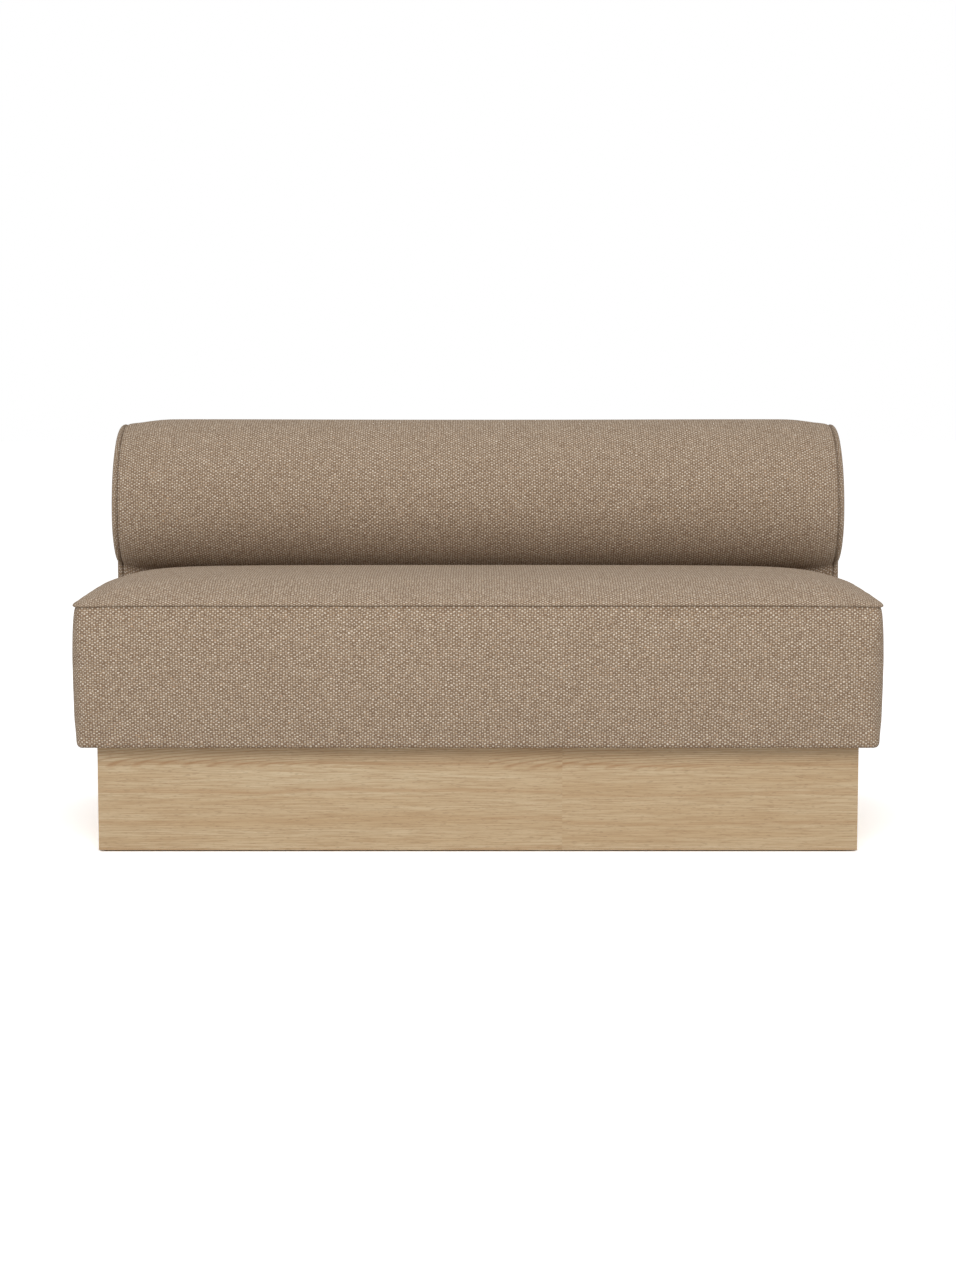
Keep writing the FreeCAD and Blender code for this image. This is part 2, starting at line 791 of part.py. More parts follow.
def frame_screw_starts():
    """Screws through the front and back rails into the ends of the side rails."""
    x = frame_side - S.rail_thickness / 2
    for height in (0.25, 0.75):
        z = frame_bottom + S.rail_height * height
        for side in (-1, 1):
            yield (side * x, frame_front, z), "+Y"
            yield (side * x, frame_back, z), "-Y"


def frame_screw_holes(name, x_side=None, axis=None):
    return [
        screw_hole(f"{name}_screw_hole", at, S.frame_screw_length, turn)
        for at, turn in frame_screw_starts()
        if (x_side is None or at[0].value * x_side > 0) and (axis is None or turn == axis)
    ]


def make_seat_frame():
    rail = S.rail_thickness
    rail_z = (frame_bottom, rail_top)
    span = (-frame_side, frame_side)
    inner_y = (frame_front + rail, frame_back - rail)

    blank = block("front_rail_blank", span, (frame_front, inner_y[0]), rail_z)
    named("seat_front_rail", cut("front_rail", blank, frame_screw_holes("front_rail", axis="+Y")))
    blank = block("back_rail_blank", span, (inner_y[1], frame_back), rail_z)
    holes = frame_screw_holes("back_rail", axis="-Y")
    holes += bolt_holes("back_rail", S.bolt_radius + S.bolt_clearance)
    named("seat_back_rail", cut("back_rail", blank, holes))
    for end, side in (("left", -1), ("right", 1)):
        outer = side * frame_side
        inner = outer - side * rail
        x = (outer, inner) if side < 0 else (inner, outer)
        blank = block(f"{end}_rail_blank", x, inner_y, rail_z)
        named(f"seat_{end}_rail", cut(f"{end}_rail", blank, frame_screw_holes(f"{end}_rail", x_side=side)))
    screws = [screw("frame_screw", at, S.frame_screw_length, axis) for at, axis in frame_screw_starts()]
    named("seat_frame_screws", group("frame_screws", screws))

    half = S.cross_rail_thickness / 2
    cross_z = (frame_bottom, frame_bottom + S.cross_rail_height)
    rails = [
        block("cross_rail_blank", (x - half, x + half), inner_y, cross_z)
        for x in both_sides(S.cross_rail_offset)
    ]
    holes = mount_holes("cross_rail", -1)
    named("seat_cross_rails", cut("cross_rails", group("cross_rail_blanks", rails), holes))

    blocks = []
    block_z = (frame_bottom, frame_bottom + S.frame_block_height)
    edge = frame_side - rail
    for x in ((-edge, -edge + S.frame_block_length), (edge - S.frame_block_length, edge)):
        for y in ((inner_y[0], inner_y[0] + S.frame_block_width),
                  (inner_y[1] - S.frame_block_width, inner_y[1])):
            blocks.append(block("frame_block", x, y, block_z))
    holes = mount_holes("frame_block", -1)
    named("seat_corner_blocks", cut("frame_corner_blocks", group("frame_blocks", blocks), holes))

    felt_z = (felt_bottom, foam_bottom)
    named("spring_felt", block("felt", span, (frame_front, frame_back), felt_z))


def zigzag(start, end, z):
    """One flat zigzag spring along Y: straight bars joined by half turns, as a round wire."""
    bars = int(S.spring_bars.value)
    pitch = (end - start) / (bars - 1)
    half = S.spring_bar_length.value / 2
    edges = []
    for i in range(bars):
        side = 1 if i % 2 == 0 else -1
        y = start + i * pitch
        bar_start = FreeCAD.Vector(-side * half, y, z)
        bar_end = FreeCAD.Vector(side * half, y, z)
        edges.append(Part.LineSegment(bar_start, bar_end).toShape())
        if i < bars - 1:
            outermost = FreeCAD.Vector(side * (half + pitch / 2), y + pitch / 2, z)
            next_bar = FreeCAD.Vector(side * half, y + pitch, z)
            edges.append(Part.Arc(bar_end, outermost, next_bar).toShape())
    section = Part.makeCircle(S.wire_radius.value, FreeCAD.Vector(-half, start, z), FreeCAD.Vector(1, 0, 0))
    return Part.Wire(edges).makePipeShell([Part.Wire([section])], True, False)


def make_springs():
    rail_middle = S.rail_thickness / 2
    first = frame_front + rail_middle
    last = frame_back - rail_middle
    wire_z = rail_top + S.wire_height
    count = int(S.spring_count.value)
    places = [S.spring_spacing * (i - (count - 1) / 2) for i in range(count)]

    one = zigzag(first.value, last.value, wire_z.value)
    springs = doc.addObject("Part::Feature", "springs")
    springs.Shape = Part.makeCompound([one.translated(FreeCAD.Vector(x.value, 0, 0)) for x in places])
    named("seat_springs", springs)

    clips = []
    half_x = S.clip_width / 2
    half_y = S.clip_depth / 2
    for x in places:
        for y in (first, last):
            blank = block("clip_blank", (x - half_x, x + half_x), (y - half_y, y + half_y),
                          (rail_top, felt_bottom))
            bore = rod("clip_bore", S.wire_radius + S.thread_clearance, (x - half_x, y, wire_z),
                       S.clip_width, "+X")
            clips.append(cut("clip", blank, [bore]))
    named("spring_clips", group("clips", clips))


# Back cushion

def wrap_stations():
    """Places along the wrap, from its middle to an end seam, with how far it is drawn in there."""
    stations = []
    for share in (1, 0.55, 0.35, 0.2, 0.08):
        stations.append((wrap_half - S.end_taper * share, S.end_draw * (1 - share) ** DRAW_POWER))
    stations.append((wrap_half - S.seam_width, S.end_draw))
    stations.append((wrap_half, S.end_draw + S.seam_dip))
    return stations


def back_form(name, shrink):
    body = doc.addObject("PartDesign::Body", name)
    stations = wrap_stations()
    row = [(-x, draw) for x, draw in reversed(stations)] + stations
    sketches = []
    for number, (x, draw) in enumerate(row):
        sketch = new_sketch(body, f"{name}_station_{number}", "YZ_Plane", x)
        back_outline(sketch, draw, sized(shrink))
        sketches.append(sketch)
    return lofted(body, sketches)


def gusset_form(name, side, shrink):
    """An end panel's swell from the seam outwards; shrink brings it in on all sides."""
    body = doc.addObject("PartDesign::Body", name)
    sketches = []
    for number, (share, inset) in enumerate(GUSSET_SWELL):
        x = side * (wrap_half + (S.gusset_puff - shrink) * share)
        sketch = new_sketch(body, f"{name}_station_{number}", "YZ_Plane", x)
        back_outline(sketch, S.end_draw, sized(shrink) + inset)
        sketches.append(sketch)
    return lofted(body, sketches)


def make_back_soft():
    outside = back_form("back_outside", 0)
    inside = back_form("back_cover_inside", S.cover_thickness)
    filling = back_form("back_filling", layer)
    holes = mount_holes("wrap", 1) + bolt_holes("wrap", S.bolt_radius + S.bolt_clearance)
    named("back_cover_wrap", cut("wrap", cut("wrap_tube", outside, [inside]), holes))

    span = (-back_half, back_half)
    neck_space = block("neck_space", span, (neck_front, rear), (plinth_top, neck_board_top))
    bolster_space = block("bolster_space", span, (bolster_board_front, rear), (neck_board_top, top_rail_top))
    frame_space = fused("back_frame_space", [neck_space, bolster_space])
    named("back_foam", cut("foam", filling, [frame_space]))

    wadding = []
    for end, side in (("left", -1), ("right", 1)):
        shell = gusset_form(f"{end}_gusset_outside", side, 0)
        hollow = gusset_form(f"{end}_gusset_inside", side, S.cover_thickness)
        named(f"back_cover_{end}_gusset", cut(f"{end}_gusset", shell, [hollow]))
        wadding.append(gusset_form(f"{end}_wadding", side, layer))
    named("back_end_wadding", group("end_wadding", wadding))


# Back frame

def rib_places():
    count = int(S.rib_count.value)
    spacing = (S.back_frame_width - S.rib_thickness) / (count - 1)
    return [spacing * (i - (count - 1) / 2) for i in range(count)]


def board_screw_starts():
    """Screws through the rear board into the ribs."""
    height = top_rail_bottom - bottom_rail_top
    for x in rib_places():
        for share in (0.1, 0.5, 0.9):
            yield (x, rear_board_back, bottom_rail_top + height * share), "-Y"


def make_back_frame():
    span = (-back_half, back_half)
    low_z = (frame_bottom, neck_board_top)
    blank = block("neck_board_blank", span, (neck_board_front, neck_board_back), low_z)
    tee_bore = S.tee_nut_radius + S.screw_clearance
    named("back_neck_board", cut("neck_board", blank, bolt_holes("neck_board", tee_bore)))

    blank = block("rear_board_blank", span, (rear_board_front, rear_board_back), (frame_bottom, top_rail_bottom))
    holes = [screw_hole("rear_board_hole", at, S.board_screw_length, axis) for at, axis in board_screw_starts()]
    named("back_rear_board", cut("rear_board", blank, holes))
    screws = [screw("board_screw", at, S.board_screw_length, axis) for at, axis in board_screw_starts()]
    named("back_frame_screws", group("board_screws", screws))

    bolster_y = (bolster_board_front, bolster_board_back)
    named("back_bolster_board", block("bolster_board", span, bolster_y, (neck_board_top, top_rail_bottom)))
    top_y = (bolster_board_front, rear_board_back)
    named("back_top_rail", block("top_rail", span, top_y, (top_rail_bottom, top_rail_top)))
    blank = block("bottom_rail_blank", span, (neck_board_back, rear_board_front), (frame_bottom, bottom_rail_top))
    named("back_bottom_rail", cut("bottom_rail", blank, mount_holes("bottom_rail", 1)))

    ribs = []
    half = S.rib_thickness / 2
    for x in rib_places():
        body = doc.addObject("PartDesign::Body", "rib_blank")
        sketch = new_sketch(body, "rib_outline", "YZ_Plane", x - half)
        polygon(sketch, [
            (neck_board_back, bottom_rail_top), (rear_board_front, bottom_rail_top),
            (rear_board_front, top_rail_bottom), (bolster_board_back, top_rail_bottom),
            (bolster_board_back, neck_board_top), (neck_board_back, neck_board_top),
        ])
        padded(body, sketch, S.rib_thickness)
        holes = [
            screw_hole("rib_hole", at, S.board_screw_length, axis)
            for at, axis in board_screw_starts()
            if abs(at[0].value - x.value) < half.value
        ]
        ribs.append(cut("rib", body, holes))
    named("back_ribs", group("ribs", ribs))


def make_bolts():
    """Bolts from the seat's back rail into tee nuts in the back's neck board."""
    bolts = []
    washers = []
    nuts = []
    rail_face = frame_back - S.rail_thickness
    head_face = rail_face - S.washer_thickness
    for x, z in bolt_spots:
        head = hexagon("bolt_head", S.bolt_head_radius, (x, head_face - S.bolt_head_height, z),
                       S.bolt_head_height, "+Y")
        shank = rod("bolt_shank", S.bolt_radius, (x, head_face, z), S.bolt_length, "+Y")
        bolts.append(fused("bolt", [head, shank]))
        disc = rod("washer_disc", S.washer_radius, (x, head_face, z), S.washer_thickness, "+Y")
        eye = rod("washer_eye", S.bolt_radius + S.bolt_clearance, (x, head_face, z), S.washer_thickness, "+Y")
        washers.append(cut("washer", disc, [eye]))
        barrel = rod("tee_barrel", S.tee_nut_radius, (x, neck_board_back - S.tee_nut_depth, z),
                     S.tee_nut_depth, "+Y")
        flange = rod("tee_flange", S.tee_flange_radius, (x, neck_board_back, z), S.tee_flange_thickness, "+Y")
        thread = rod("tee_thread", S.bolt_radius + S.thread_clearance,
                     (x, neck_board_back - S.tee_nut_depth, z), S.tee_nut_depth + S.tee_flange_thickness, "+Y")
        nuts.append(cut("tee_nut", fused("tee_blank", [barrel, flange]), [thread]))
    named("back_bolts", group("bolts", bolts))
    named("back_bolt_washers", group("washers", washers))
    named("back_tee_nuts", group("tee_nuts", nuts))


make_plinth()
make_levellers()
make_mount_screws()
make_seat_frame()
make_springs()
make_seat_soft()
make_back_frame()
make_back_soft()
make_bolts()
doc.recompute()

failed = [thing.Label for thing in doc.Objects if {"Invalid", "Error"} & set(thing.State)]
if failed:
    raise RuntimeError(f"these objects failed: {failed}")
for piece in pieces:
    if piece.Shape.isNull() or not piece.Shape.isValid() or not piece.Shape.Solids:
        raise RuntimeError(f"{piece.Label} has no valid solid")

os.makedirs("parts", exist_ok=True)
for piece in pieces:
    piece.Shape.exportStep(f"parts/{piece.Label}.step")
    litres = piece.Shape.Volume / 1e6
    print(f"{piece.Label}: {len(piece.Shape.Solids)} solids, {litres:.3f} litres")
print(f"{len(pieces)} pieces")
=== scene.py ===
# %% [markdown]
# A two-seat dining sofa stands on a low oak plinth: a deep seat cushion, and behind it a back whose
# top swells into a bolster. The wooden parts, feet and fasteners come ready made as a fixed frame.
# This lesson adds what the frame leaves plain: the sewn and stuffed pieces, and every finish.

# %% Load the frame
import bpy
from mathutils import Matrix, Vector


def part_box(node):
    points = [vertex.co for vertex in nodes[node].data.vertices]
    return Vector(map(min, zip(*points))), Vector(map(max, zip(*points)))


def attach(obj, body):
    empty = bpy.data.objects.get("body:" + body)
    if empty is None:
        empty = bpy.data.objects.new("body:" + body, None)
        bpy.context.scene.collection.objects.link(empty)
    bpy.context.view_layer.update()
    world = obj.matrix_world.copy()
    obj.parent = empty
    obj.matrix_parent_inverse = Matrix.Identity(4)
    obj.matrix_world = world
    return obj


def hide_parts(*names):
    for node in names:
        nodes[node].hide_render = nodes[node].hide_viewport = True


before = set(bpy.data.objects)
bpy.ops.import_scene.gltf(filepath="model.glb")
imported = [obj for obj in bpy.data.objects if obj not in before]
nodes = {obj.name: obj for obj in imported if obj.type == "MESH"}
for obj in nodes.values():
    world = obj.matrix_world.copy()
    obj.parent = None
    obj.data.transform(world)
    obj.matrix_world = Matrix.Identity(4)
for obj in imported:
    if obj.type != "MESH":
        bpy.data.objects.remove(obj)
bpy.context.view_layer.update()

import math

import bmesh
import bpy
from mathutils import Vector, noise

scene = bpy.context.scene

# %% [markdown]
# The photograph looks straight at the front from a little above, through a long lens. The lens and
# the height come from how the plinth and the seat narrow with distance. Auto fit puts the 36 mm
# sensor along the longer, upright side of the picture.

# %% Camera
camera = bpy.data.objects.new("camera", bpy.data.cameras.new("camera"))
camera.location = (0, -5.318, 0.9546)
camera.rotation_euler = (math.radians(83.7), 0, 0)
camera.data.lens = 76
scene.collection.objects.link(camera)
scene.camera = camera
scene.view_settings.view_transform = "Standard"
print("camera", camera.data.lens, "mm")

# %% [markdown]
# Colours are written as the hex values a paint chart would give. Blender's shaders work in linear
# light, so one function converts them. One more function adds a node, sets its options and plugs in
# its inputs, which keeps each material readable as a short list of steps.

# %% Helpers for materials
# A Mix node has a set of sockets for each kind of value, all under the same names, so the ones for
# colours go by number: how much of the second colour, the two colours, and the result.
COLOURS = {"data_type": "RGBA"}
AMOUNT, FIRST, SECOND, MIXED = 0, 6, 7, 2


def tone(code):
    """An sRGB hex colour as linear RGBA."""
    shares = [int(code[i:i + 2], 16) / 255 for i in (1, 3, 5)]
    return tuple(c / 12.92 if c <= 0.04045 else ((c + 0.055) / 1.055) ** 2.4 for c in shares) + (1,)


def add(tree, kind, settings=None, inputs=None):
    """Adds a node; an input is a plain value or another node's output."""
    node = tree.nodes.new("ShaderNode" + kind)
    for name, value in (settings or {}).items():
        setattr(node, name, value)
    for name, value in (inputs or {}).items():
        if isinstance(value, bpy.types.NodeSocket):
            tree.links.new(value, node.inputs[name])
        else:
            node.inputs[name].default_value = value
    return node


def new_material(name, **constants):
    """A material with its Principled shader's constant values set on the shader's own sockets."""
    material = bpy.data.materials.new(name)
    material.use_nodes = True
    shader = material.node_tree.nodes["Principled BSDF"]
    for socket, value in constants.items():
        shader.inputs[socket.replace("_", " ")].default_value = value
    return material, material.node_tree, shader


print("mid grey #808080 in linear light:", round(tone("#808080")[0], 3))

# %% [markdown]
# The studio is a white floor under an even white sky, with one wide soft light overhead. The sky is
# plain white to the camera and to reflections, and a little weaker as a light, so that the room
# doesn't bleach the cloth. Light Path tells the two kinds of ray apart.

# %% Sky
SKY_LIGHT = 0.62


def seen_directly(tree):
    """1 for a ray from the camera, or one that a shiny or clear surface sends on, and 0 for light."""
    rays = add(tree, "LightPath")
    shiny = add(tree, "Math", {"operation": "MAXIMUM"}, {
        0: rays.outputs["Is Glossy Ray"], 1: rays.outputs["Is Transmission Ray"]})
    return add(tree, "Math", {"operation": "MAXIMUM"}, {
        0: rays.outputs["Is Camera Ray"], 1: shiny.outputs[0]}).outputs[0]


world = bpy.data.worlds.new("white_studio")
world.use_nodes = True
scene.world = world
sky = world.node_tree
background = sky.nodes["Background"]
background.inputs["Color"].default_value = (1, 1, 1, 1)
strength = add(sky, "MapRange", inputs={
    "Value": seen_directly(sky), "To Min": SKY_LIGHT, "To Max": 1.0})
sky.links.new(strength.outputs["Result"], background.inputs["Strength"])
print("sky: 1.0 to the camera,", SKY_LIGHT, "as a light")

# %% [markdown]
# The floor is matt white paint and keeps the sofa's shadow. The room's light alone would leave it
# grey in the picture, so to the camera its paint is brighter than paint can be. To the light that
# bounces off it on to the sofa it stays an ordinary white.

# %% Floor
FLOOR_TO_CAMERA = (1.75, 1.75, 1.75, 1)
FLOOR_SIZE = 20

floor_paint, floor_tree, floor_shader = new_material(
    "matt_white_floor_paint", Roughness=0.9, Specular_IOR_Level=0.1)
floor_white = add(floor_tree, "Mix", COLOURS, {
    AMOUNT: seen_directly(floor_tree), FIRST: tone("#DCDCDC"), SECOND: FLOOR_TO_CAMERA})
floor_tree.links.new(floor_white.outputs[MIXED], floor_shader.inputs["Base Color"])
bm = bmesh.new()
bmesh.ops.create_grid(bm, x_segments=1, y_segments=1, size=FLOOR_SIZE)
floor_mesh = bpy.data.meshes.new("floor")
bm.to_mesh(floor_mesh)
bm.free()
floor = bpy.data.objects.new("floor", floor_mesh)
floor_mesh.materials.append(floor_paint)
scene.collection.objects.link(floor)
print("floor reaches", FLOOR_SIZE, "m each way")

# %% [markdown]
# The photograph's light falls softly from above and in front: the tops are a little brighter than
# the fronts, and the shade under the bolster has no edge. One large softbox gives that.

# %% Softbox
softbox = bpy.data.objects.new("softbox", bpy.data.lights.new("softbox", "AREA"))
softbox.data.shape = "RECTANGLE"
softbox.data.size = 4.5
softbox.data.size_y = 2.5
softbox.data.energy = 125
softbox.location = (0, -4.0, 3.2)
softbox.rotation_euler = (math.radians(55), 0, 0)
scene.collection.objects.link(softbox)
print("softbox of", softbox.data.energy, "W")

# %% [markdown]
# The cover is a heavy woven cloth: a pale, slubby warp over a browner weft, so that pale nubs and
# darker ones alternate like a chequerboard. Real threads could be modelled, but a surface this wide
# would need millions of faces, so the weave is drawn by the material. It reads the piece's own UV
# map, in metres along the cloth, so that the threads follow the cloth round every curve.

# %% Threads of the cloth
# The nubs' spacing across and along the cloth, matched to the photograph.
WARP_PITCH = 0.00484
WEFT_PITCH = 0.00335
# Threads wander twice, each time by about half a millimetre: over 25 mm, and within two nubs.
WANDERINGS = ((40, (0.0034, 0.0026, 0)), (130, (0.0034, 0.0030, 0)))


def wandering_threads(tree):
    """Metres along the cloth, and the same counted in nubs whose threads wander."""
    thread = add(tree, "UVMap", {"uv_map": "weave"}).outputs["UV"]
    cells = thread
    for scale, reach in WANDERINGS:
        drift = add(tree, "TexNoise", {"noise_dimensions": "2D"}, {
            "Vector": thread, "Scale": scale, "Detail": 1}).outputs["Color"]
        cells = add(tree, "VectorMath", {"operation": "MULTIPLY_ADD"}, {
            0: drift, 1: reach, 2: cells}).outputs[0]
    cells = add(tree, "VectorMath", {"operation": "DIVIDE"}, {
        0: cells, 1: (WARP_PITCH, WEFT_PITCH, 1)}).outputs[0]
    return thread, cells


print("nubs", WARP_PITCH, "m across and", WEFT_PITCH, "m along")

# %% [markdown]
# Two sine waves multiplied give the chequerboard: the product's sign says whether the pale thread or
# the brown one is on top, and its size how far the nub stands out. A random number for each nub
# makes it a shade lighter or darker, as mixed yarn is. Where a piece has a seam, an attribute paints
# shade into the cloth along it: painted shade where the cloth turns under.

# %% Woven cloth
# A nub's height, the share of nubs that are dyed, and how strong the dye is.
NUB_HEIGHT = 0.0008
FLECK_CHANCE, FLECK_STRENGTH = 0.03, 0.35


def nub_colours(tree, cells):
    """The cloth's colour and how far each point stands out, from 0 in a pit to 1 on a nub."""
    waves = add(tree, "VectorMath", {"operation": "SCALE"}, {0: cells, "Scale": math.pi}).outputs[0]
    waves = add(tree, "VectorMath", {"operation": "SINE"}, {0: waves}).outputs[0]
    parts = add(tree, "SeparateXYZ", inputs={0: waves})
    nubs = add(tree, "Math", {"operation": "MULTIPLY"}, {
        0: parts.outputs["X"], 1: parts.outputs["Y"]}).outputs[0]
    depth = add(tree, "Math", {"operation": "ABSOLUTE"}, {0: nubs}).outputs[0]
    # Each nub is a shade lighter or darker than its neighbours.
    cell = add(tree, "VectorMath", {"operation": "FLOOR"}, {0: cells}).outputs[0]
    chance = add(tree, "TexWhiteNoise", {"noise_dimensions": "2D"}, {"Vector": cell})
    pale = add(tree, "MapRange", inputs={
        "Value": chance.outputs["Value"], "To Min": 0.5, "To Max": 0.92}).outputs[0]
    crest = add(tree, "MapRange", {"interpolation_type": "SMOOTHSTEP"}, {
        "Value": nubs, "From Min": 0.1, "From Max": 0.8}).outputs[0]
    crest = add(tree, "Math", {"operation": "MULTIPLY"}, {0: crest, 1: pale}).outputs[0]
    colour = add(tree, "Mix", COLOURS, {
        AMOUNT: chance.outputs["Value"],
        FIRST: tone("#917860"), SECOND: tone("#B29A80")}).outputs[MIXED]
    # Painted shade darkens the pits where the threads cross, and a few slubs are dyed ochre or rust.
    pit = add(tree, "MapRange", inputs={
        "Value": depth, "From Max": 0.45, "To Min": 0.77, "To Max": 0}).outputs[0]
    dye = add(tree, "Mix", COLOURS, {
        AMOUNT: chance.outputs["Color"],
        FIRST: tone("#B58A50"), SECOND: tone("#AE7F6C")}).outputs[MIXED]
    fleck = add(tree, "Math", {"operation": "GREATER_THAN"}, {
        0: chance.outputs["Value"], 1: 1 - FLECK_CHANCE}).outputs[0]
    fleck = add(tree, "Math", {"operation": "MULTIPLY"}, {0: fleck, 1: depth}).outputs[0]
    fleck = add(tree, "Math", {"operation": "MULTIPLY"}, {0: fleck, 1: FLECK_STRENGTH}).outputs[0]
    for amount, shade in ((crest, tone("#E6DACA")), (pit, tone("#645243")), (fleck, dye)):
        colour = add(tree, "Mix", COLOURS, {
            AMOUNT: amount, FIRST: colour, SECOND: shade}).outputs[MIXED]
    return colour, depth


def woven_cloth():
    """The sofa's cover, on pieces that carry a weave map and an attribute of painted seam shade."""
    # Wool blend, woven: dry and matt, with a pale fuzz that shows where the cloth turns away.
    material, tree, shader = new_material(
        "slubby_wool_blend_cloth_woven", Roughness=0.95, Specular_IOR_Level=0.15,
        Sheen_Weight=0.08, Sheen_Roughness=0.6, Sheen_Tint=tone("#E8DCCB"))
    thread, cells = wandering_threads(tree)
    colour, depth = nub_colours(tree, cells)
    # Painted shade: along a seam the cloth turns under, and an attribute darkens the colour there.
    painted_seam_shade = add(tree, "Attribute", {"attribute_name": "painted_seam_shade"}).outputs["Fac"]
    painted_seam_shade = add(tree, "MapRange", inputs={"Value": painted_seam_shade, "To Min": 0, "To Max": 0.5}).outputs[0]
    colour = add(tree, "Mix", COLOURS, {
        AMOUNT: painted_seam_shade, FIRST: colour, SECOND: tone("#4A3B2E")}).outputs[MIXED]
    tree.links.new(colour, shader.inputs["Base Color"])
    # Nubs stand nearly a millimetre proud, with loose fibre over them.
    fibre = add(tree, "TexNoise", {"noise_dimensions": "2D"}, {
        "Vector": thread, "Scale": 900, "Detail": 2}).outputs["Fac"]
    height = add(tree, "Math", {"operation": "MULTIPLY_ADD"}, {0: fibre, 1: 0.3, 2: depth}).outputs[0]
    bump = add(tree, "Bump", inputs={"Height": height, "Strength": 0.9, "Distance": NUB_HEIGHT})
    tree.links.new(bump.outputs["Normal"], shader.inputs["Normal"])
    return material


cloth = woven_cloth()
print("cloth:", len(cloth.node_tree.nodes), "nodes")

# %% [markdown]
# The seat is one deep cushion: a band of cloth round the sides, the boxing, and a top panel sewn to
# it. The filling presses the top up into a soft crown, and the seam is drawn in, so that the panel
# rolls out over it as a small lip. Rules for these lengths come first, because they both shape the
# panel and measure its cloth.

# %% Sizes of the seat and its top panel
SEAT_HALF = 0.7508
SEAT_FRONT = -0.375
SEAT_REAR = 0.2347
SEAT_BASE = 0.203
SEAM_HEIGHT = 0.4665
# How far the seam is drawn in, and the run over which the panel comes free of it.
SEAM_INSET = 0.0058
SEAM_PULL = 0.0012
# The lip over the seam: how far it rolls out, where it does so most, how high it is, and its run.
LIP_OUT = 0.0060
LIP_PLACE = 0.0075
LIP_RISE = 0.0072
LIP_RUN = 0.0062
# The crown's height, and the distances over which it rises from the sides, the front and the rear.
CROWN = 0.033
CROWN_START = 0.002
SIDE_REACH, FRONT_REACH, REAR_REACH = 0.052, 0.036, 0.090
seat_middle = (SEAT_FRONT + SEAT_REAR) / 2
seat_reach = (SEAT_REAR - SEAT_FRONT) / 2
boxing_height = SEAM_HEIGHT - SEAT_BASE


def panel_inset(run):
    """Top panel, in from the plan's edge: drawn in at the seam, then rolled out over it."""
    lip = LIP_OUT * (run / LIP_PLACE) * math.exp(1 - run / LIP_PLACE)
    return run + SEAM_INSET * math.exp(-run / SEAM_PULL) - lip


def panel_rise(run, side, front, rear):
    """Top panel, up from the seam: a tight lip at the edge, then a long soft crown."""
    crown = CROWN
    for distance, reach in ((side, SIDE_REACH), (front, FRONT_REACH), (rear, REAR_REACH)):
        crown *= 1 - math.exp(-max(distance - CROWN_START, 0) / reach)
    return LIP_RISE * (1 - math.exp(-(run / LIP_RUN) ** 1.6)) + crown


print("seat", 2 * SEAT_HALF, "by", round(2 * seat_reach, 4), "m, boxing", round(boxing_height, 4), "m")

# %% [markdown]
# A weave on a curved panel keeps its size only if the UV map counts lengths along the cloth, not
# across the plan. Short steps over the lip and the crown, added up, give those lengths.

# %% Lengths of cloth over the top panel
# The run that is measured, in steps of a millimetre. Past it the panel is nearly flat.
MEASURED = 200


def cloth_over(rise):
    """Length of cloth from the seam to each millimetre of the measured run."""
    lengths = [0]
    for step in range(MEASURED):
        near, far = step / 1000, (step + 1) / 1000
        lengths.append(lengths[-1] + math.hypot(
            panel_inset(far) - panel_inset(near), rise(far) - rise(near)))
    return lengths


def lay(run, lengths):
    """Length of cloth from the seam to any run, read between the measured millimetres."""
    if run > MEASURED / 1000:
        return lengths[-1] + run - MEASURED / 1000
    step = min(int(run * 1000), MEASURED - 1)
    return lengths[step] + (lengths[step + 1] - lengths[step]) * (run * 1000 - step)


over_side = cloth_over(lambda run: panel_rise(run, run, 1, 1))
over_front = cloth_over(lambda run: panel_rise(run, 1, run, 1))
print("cloth over 200 mm: side", round(over_side[-1], 4), "m, front", round(over_front[-1], 4), "m")

# %% [markdown]
# A stuffed piece is easiest to shape as a fine, even net of squares. Sculpting would do, but moving a
# net's points by a rule keeps the squares tidy and can be repeated. This net starts as a cube. Rows
# are drawn closer together at the edges, where the seams need them.

# %% Net of the seat
# Cuts along the width, the depth and the height, for squares of about 11 mm.
SEAT_CUTS = (129, 57, 25)
# Within about this distance of an edge the rows lie closer together.
GATHER = 0.2


def crowd(distance, reach):
    """Moves rows at even distances from an edge closer to it; the row at reach stays."""
    def drawn(d):
        return d * d / (d + GATHER)
    return reach * drawn(distance) / drawn(reach)


def to_edges(place, half):
    """Moves a place between -half and half closer to the end it is nearer to."""
    return math.copysign(half - crowd(half - abs(place), half), place)


def slice_along(bm, axis, cuts):
    """Cuts every edge that runs along an axis into equal parts."""
    edges = [e for e in bm.edges if abs((e.verts[1].co - e.verts[0].co).normalized()[axis]) > 0.9]
    bmesh.ops.subdivide_edges(bm, edges=edges, cuts=cuts, use_grid_fill=True)


def seat_net():
    """The seat's box as a net of squares."""
    bm = bmesh.new()
    middle = (0, seat_middle, SEAT_BASE + boxing_height / 2)
    half = (SEAT_HALF, seat_reach, boxing_height / 2)
    bmesh.ops.create_cube(bm, size=1)
    bmesh.ops.scale(bm, vec=tuple(2 * reach for reach in half), verts=bm.verts)
    bmesh.ops.translate(bm, vec=middle, verts=bm.verts)
    for axis, cuts in enumerate(SEAT_CUTS):
        slice_along(bm, axis, cuts)
    for vertex in bm.verts:
        vertex.co = [centre + to_edges(place - centre, reach)
                     for place, centre, reach in zip(vertex.co, middle, half)]
    return bm


seat_bm = seat_net()
print("seat net:", len(seat_bm.faces), "squares")

# %% [markdown]
# The weave is mapped while the net is still a plain box, because then each face says which panel of
# cloth it belongs to: the boxing runs round the sides, and the top panel lies over it.

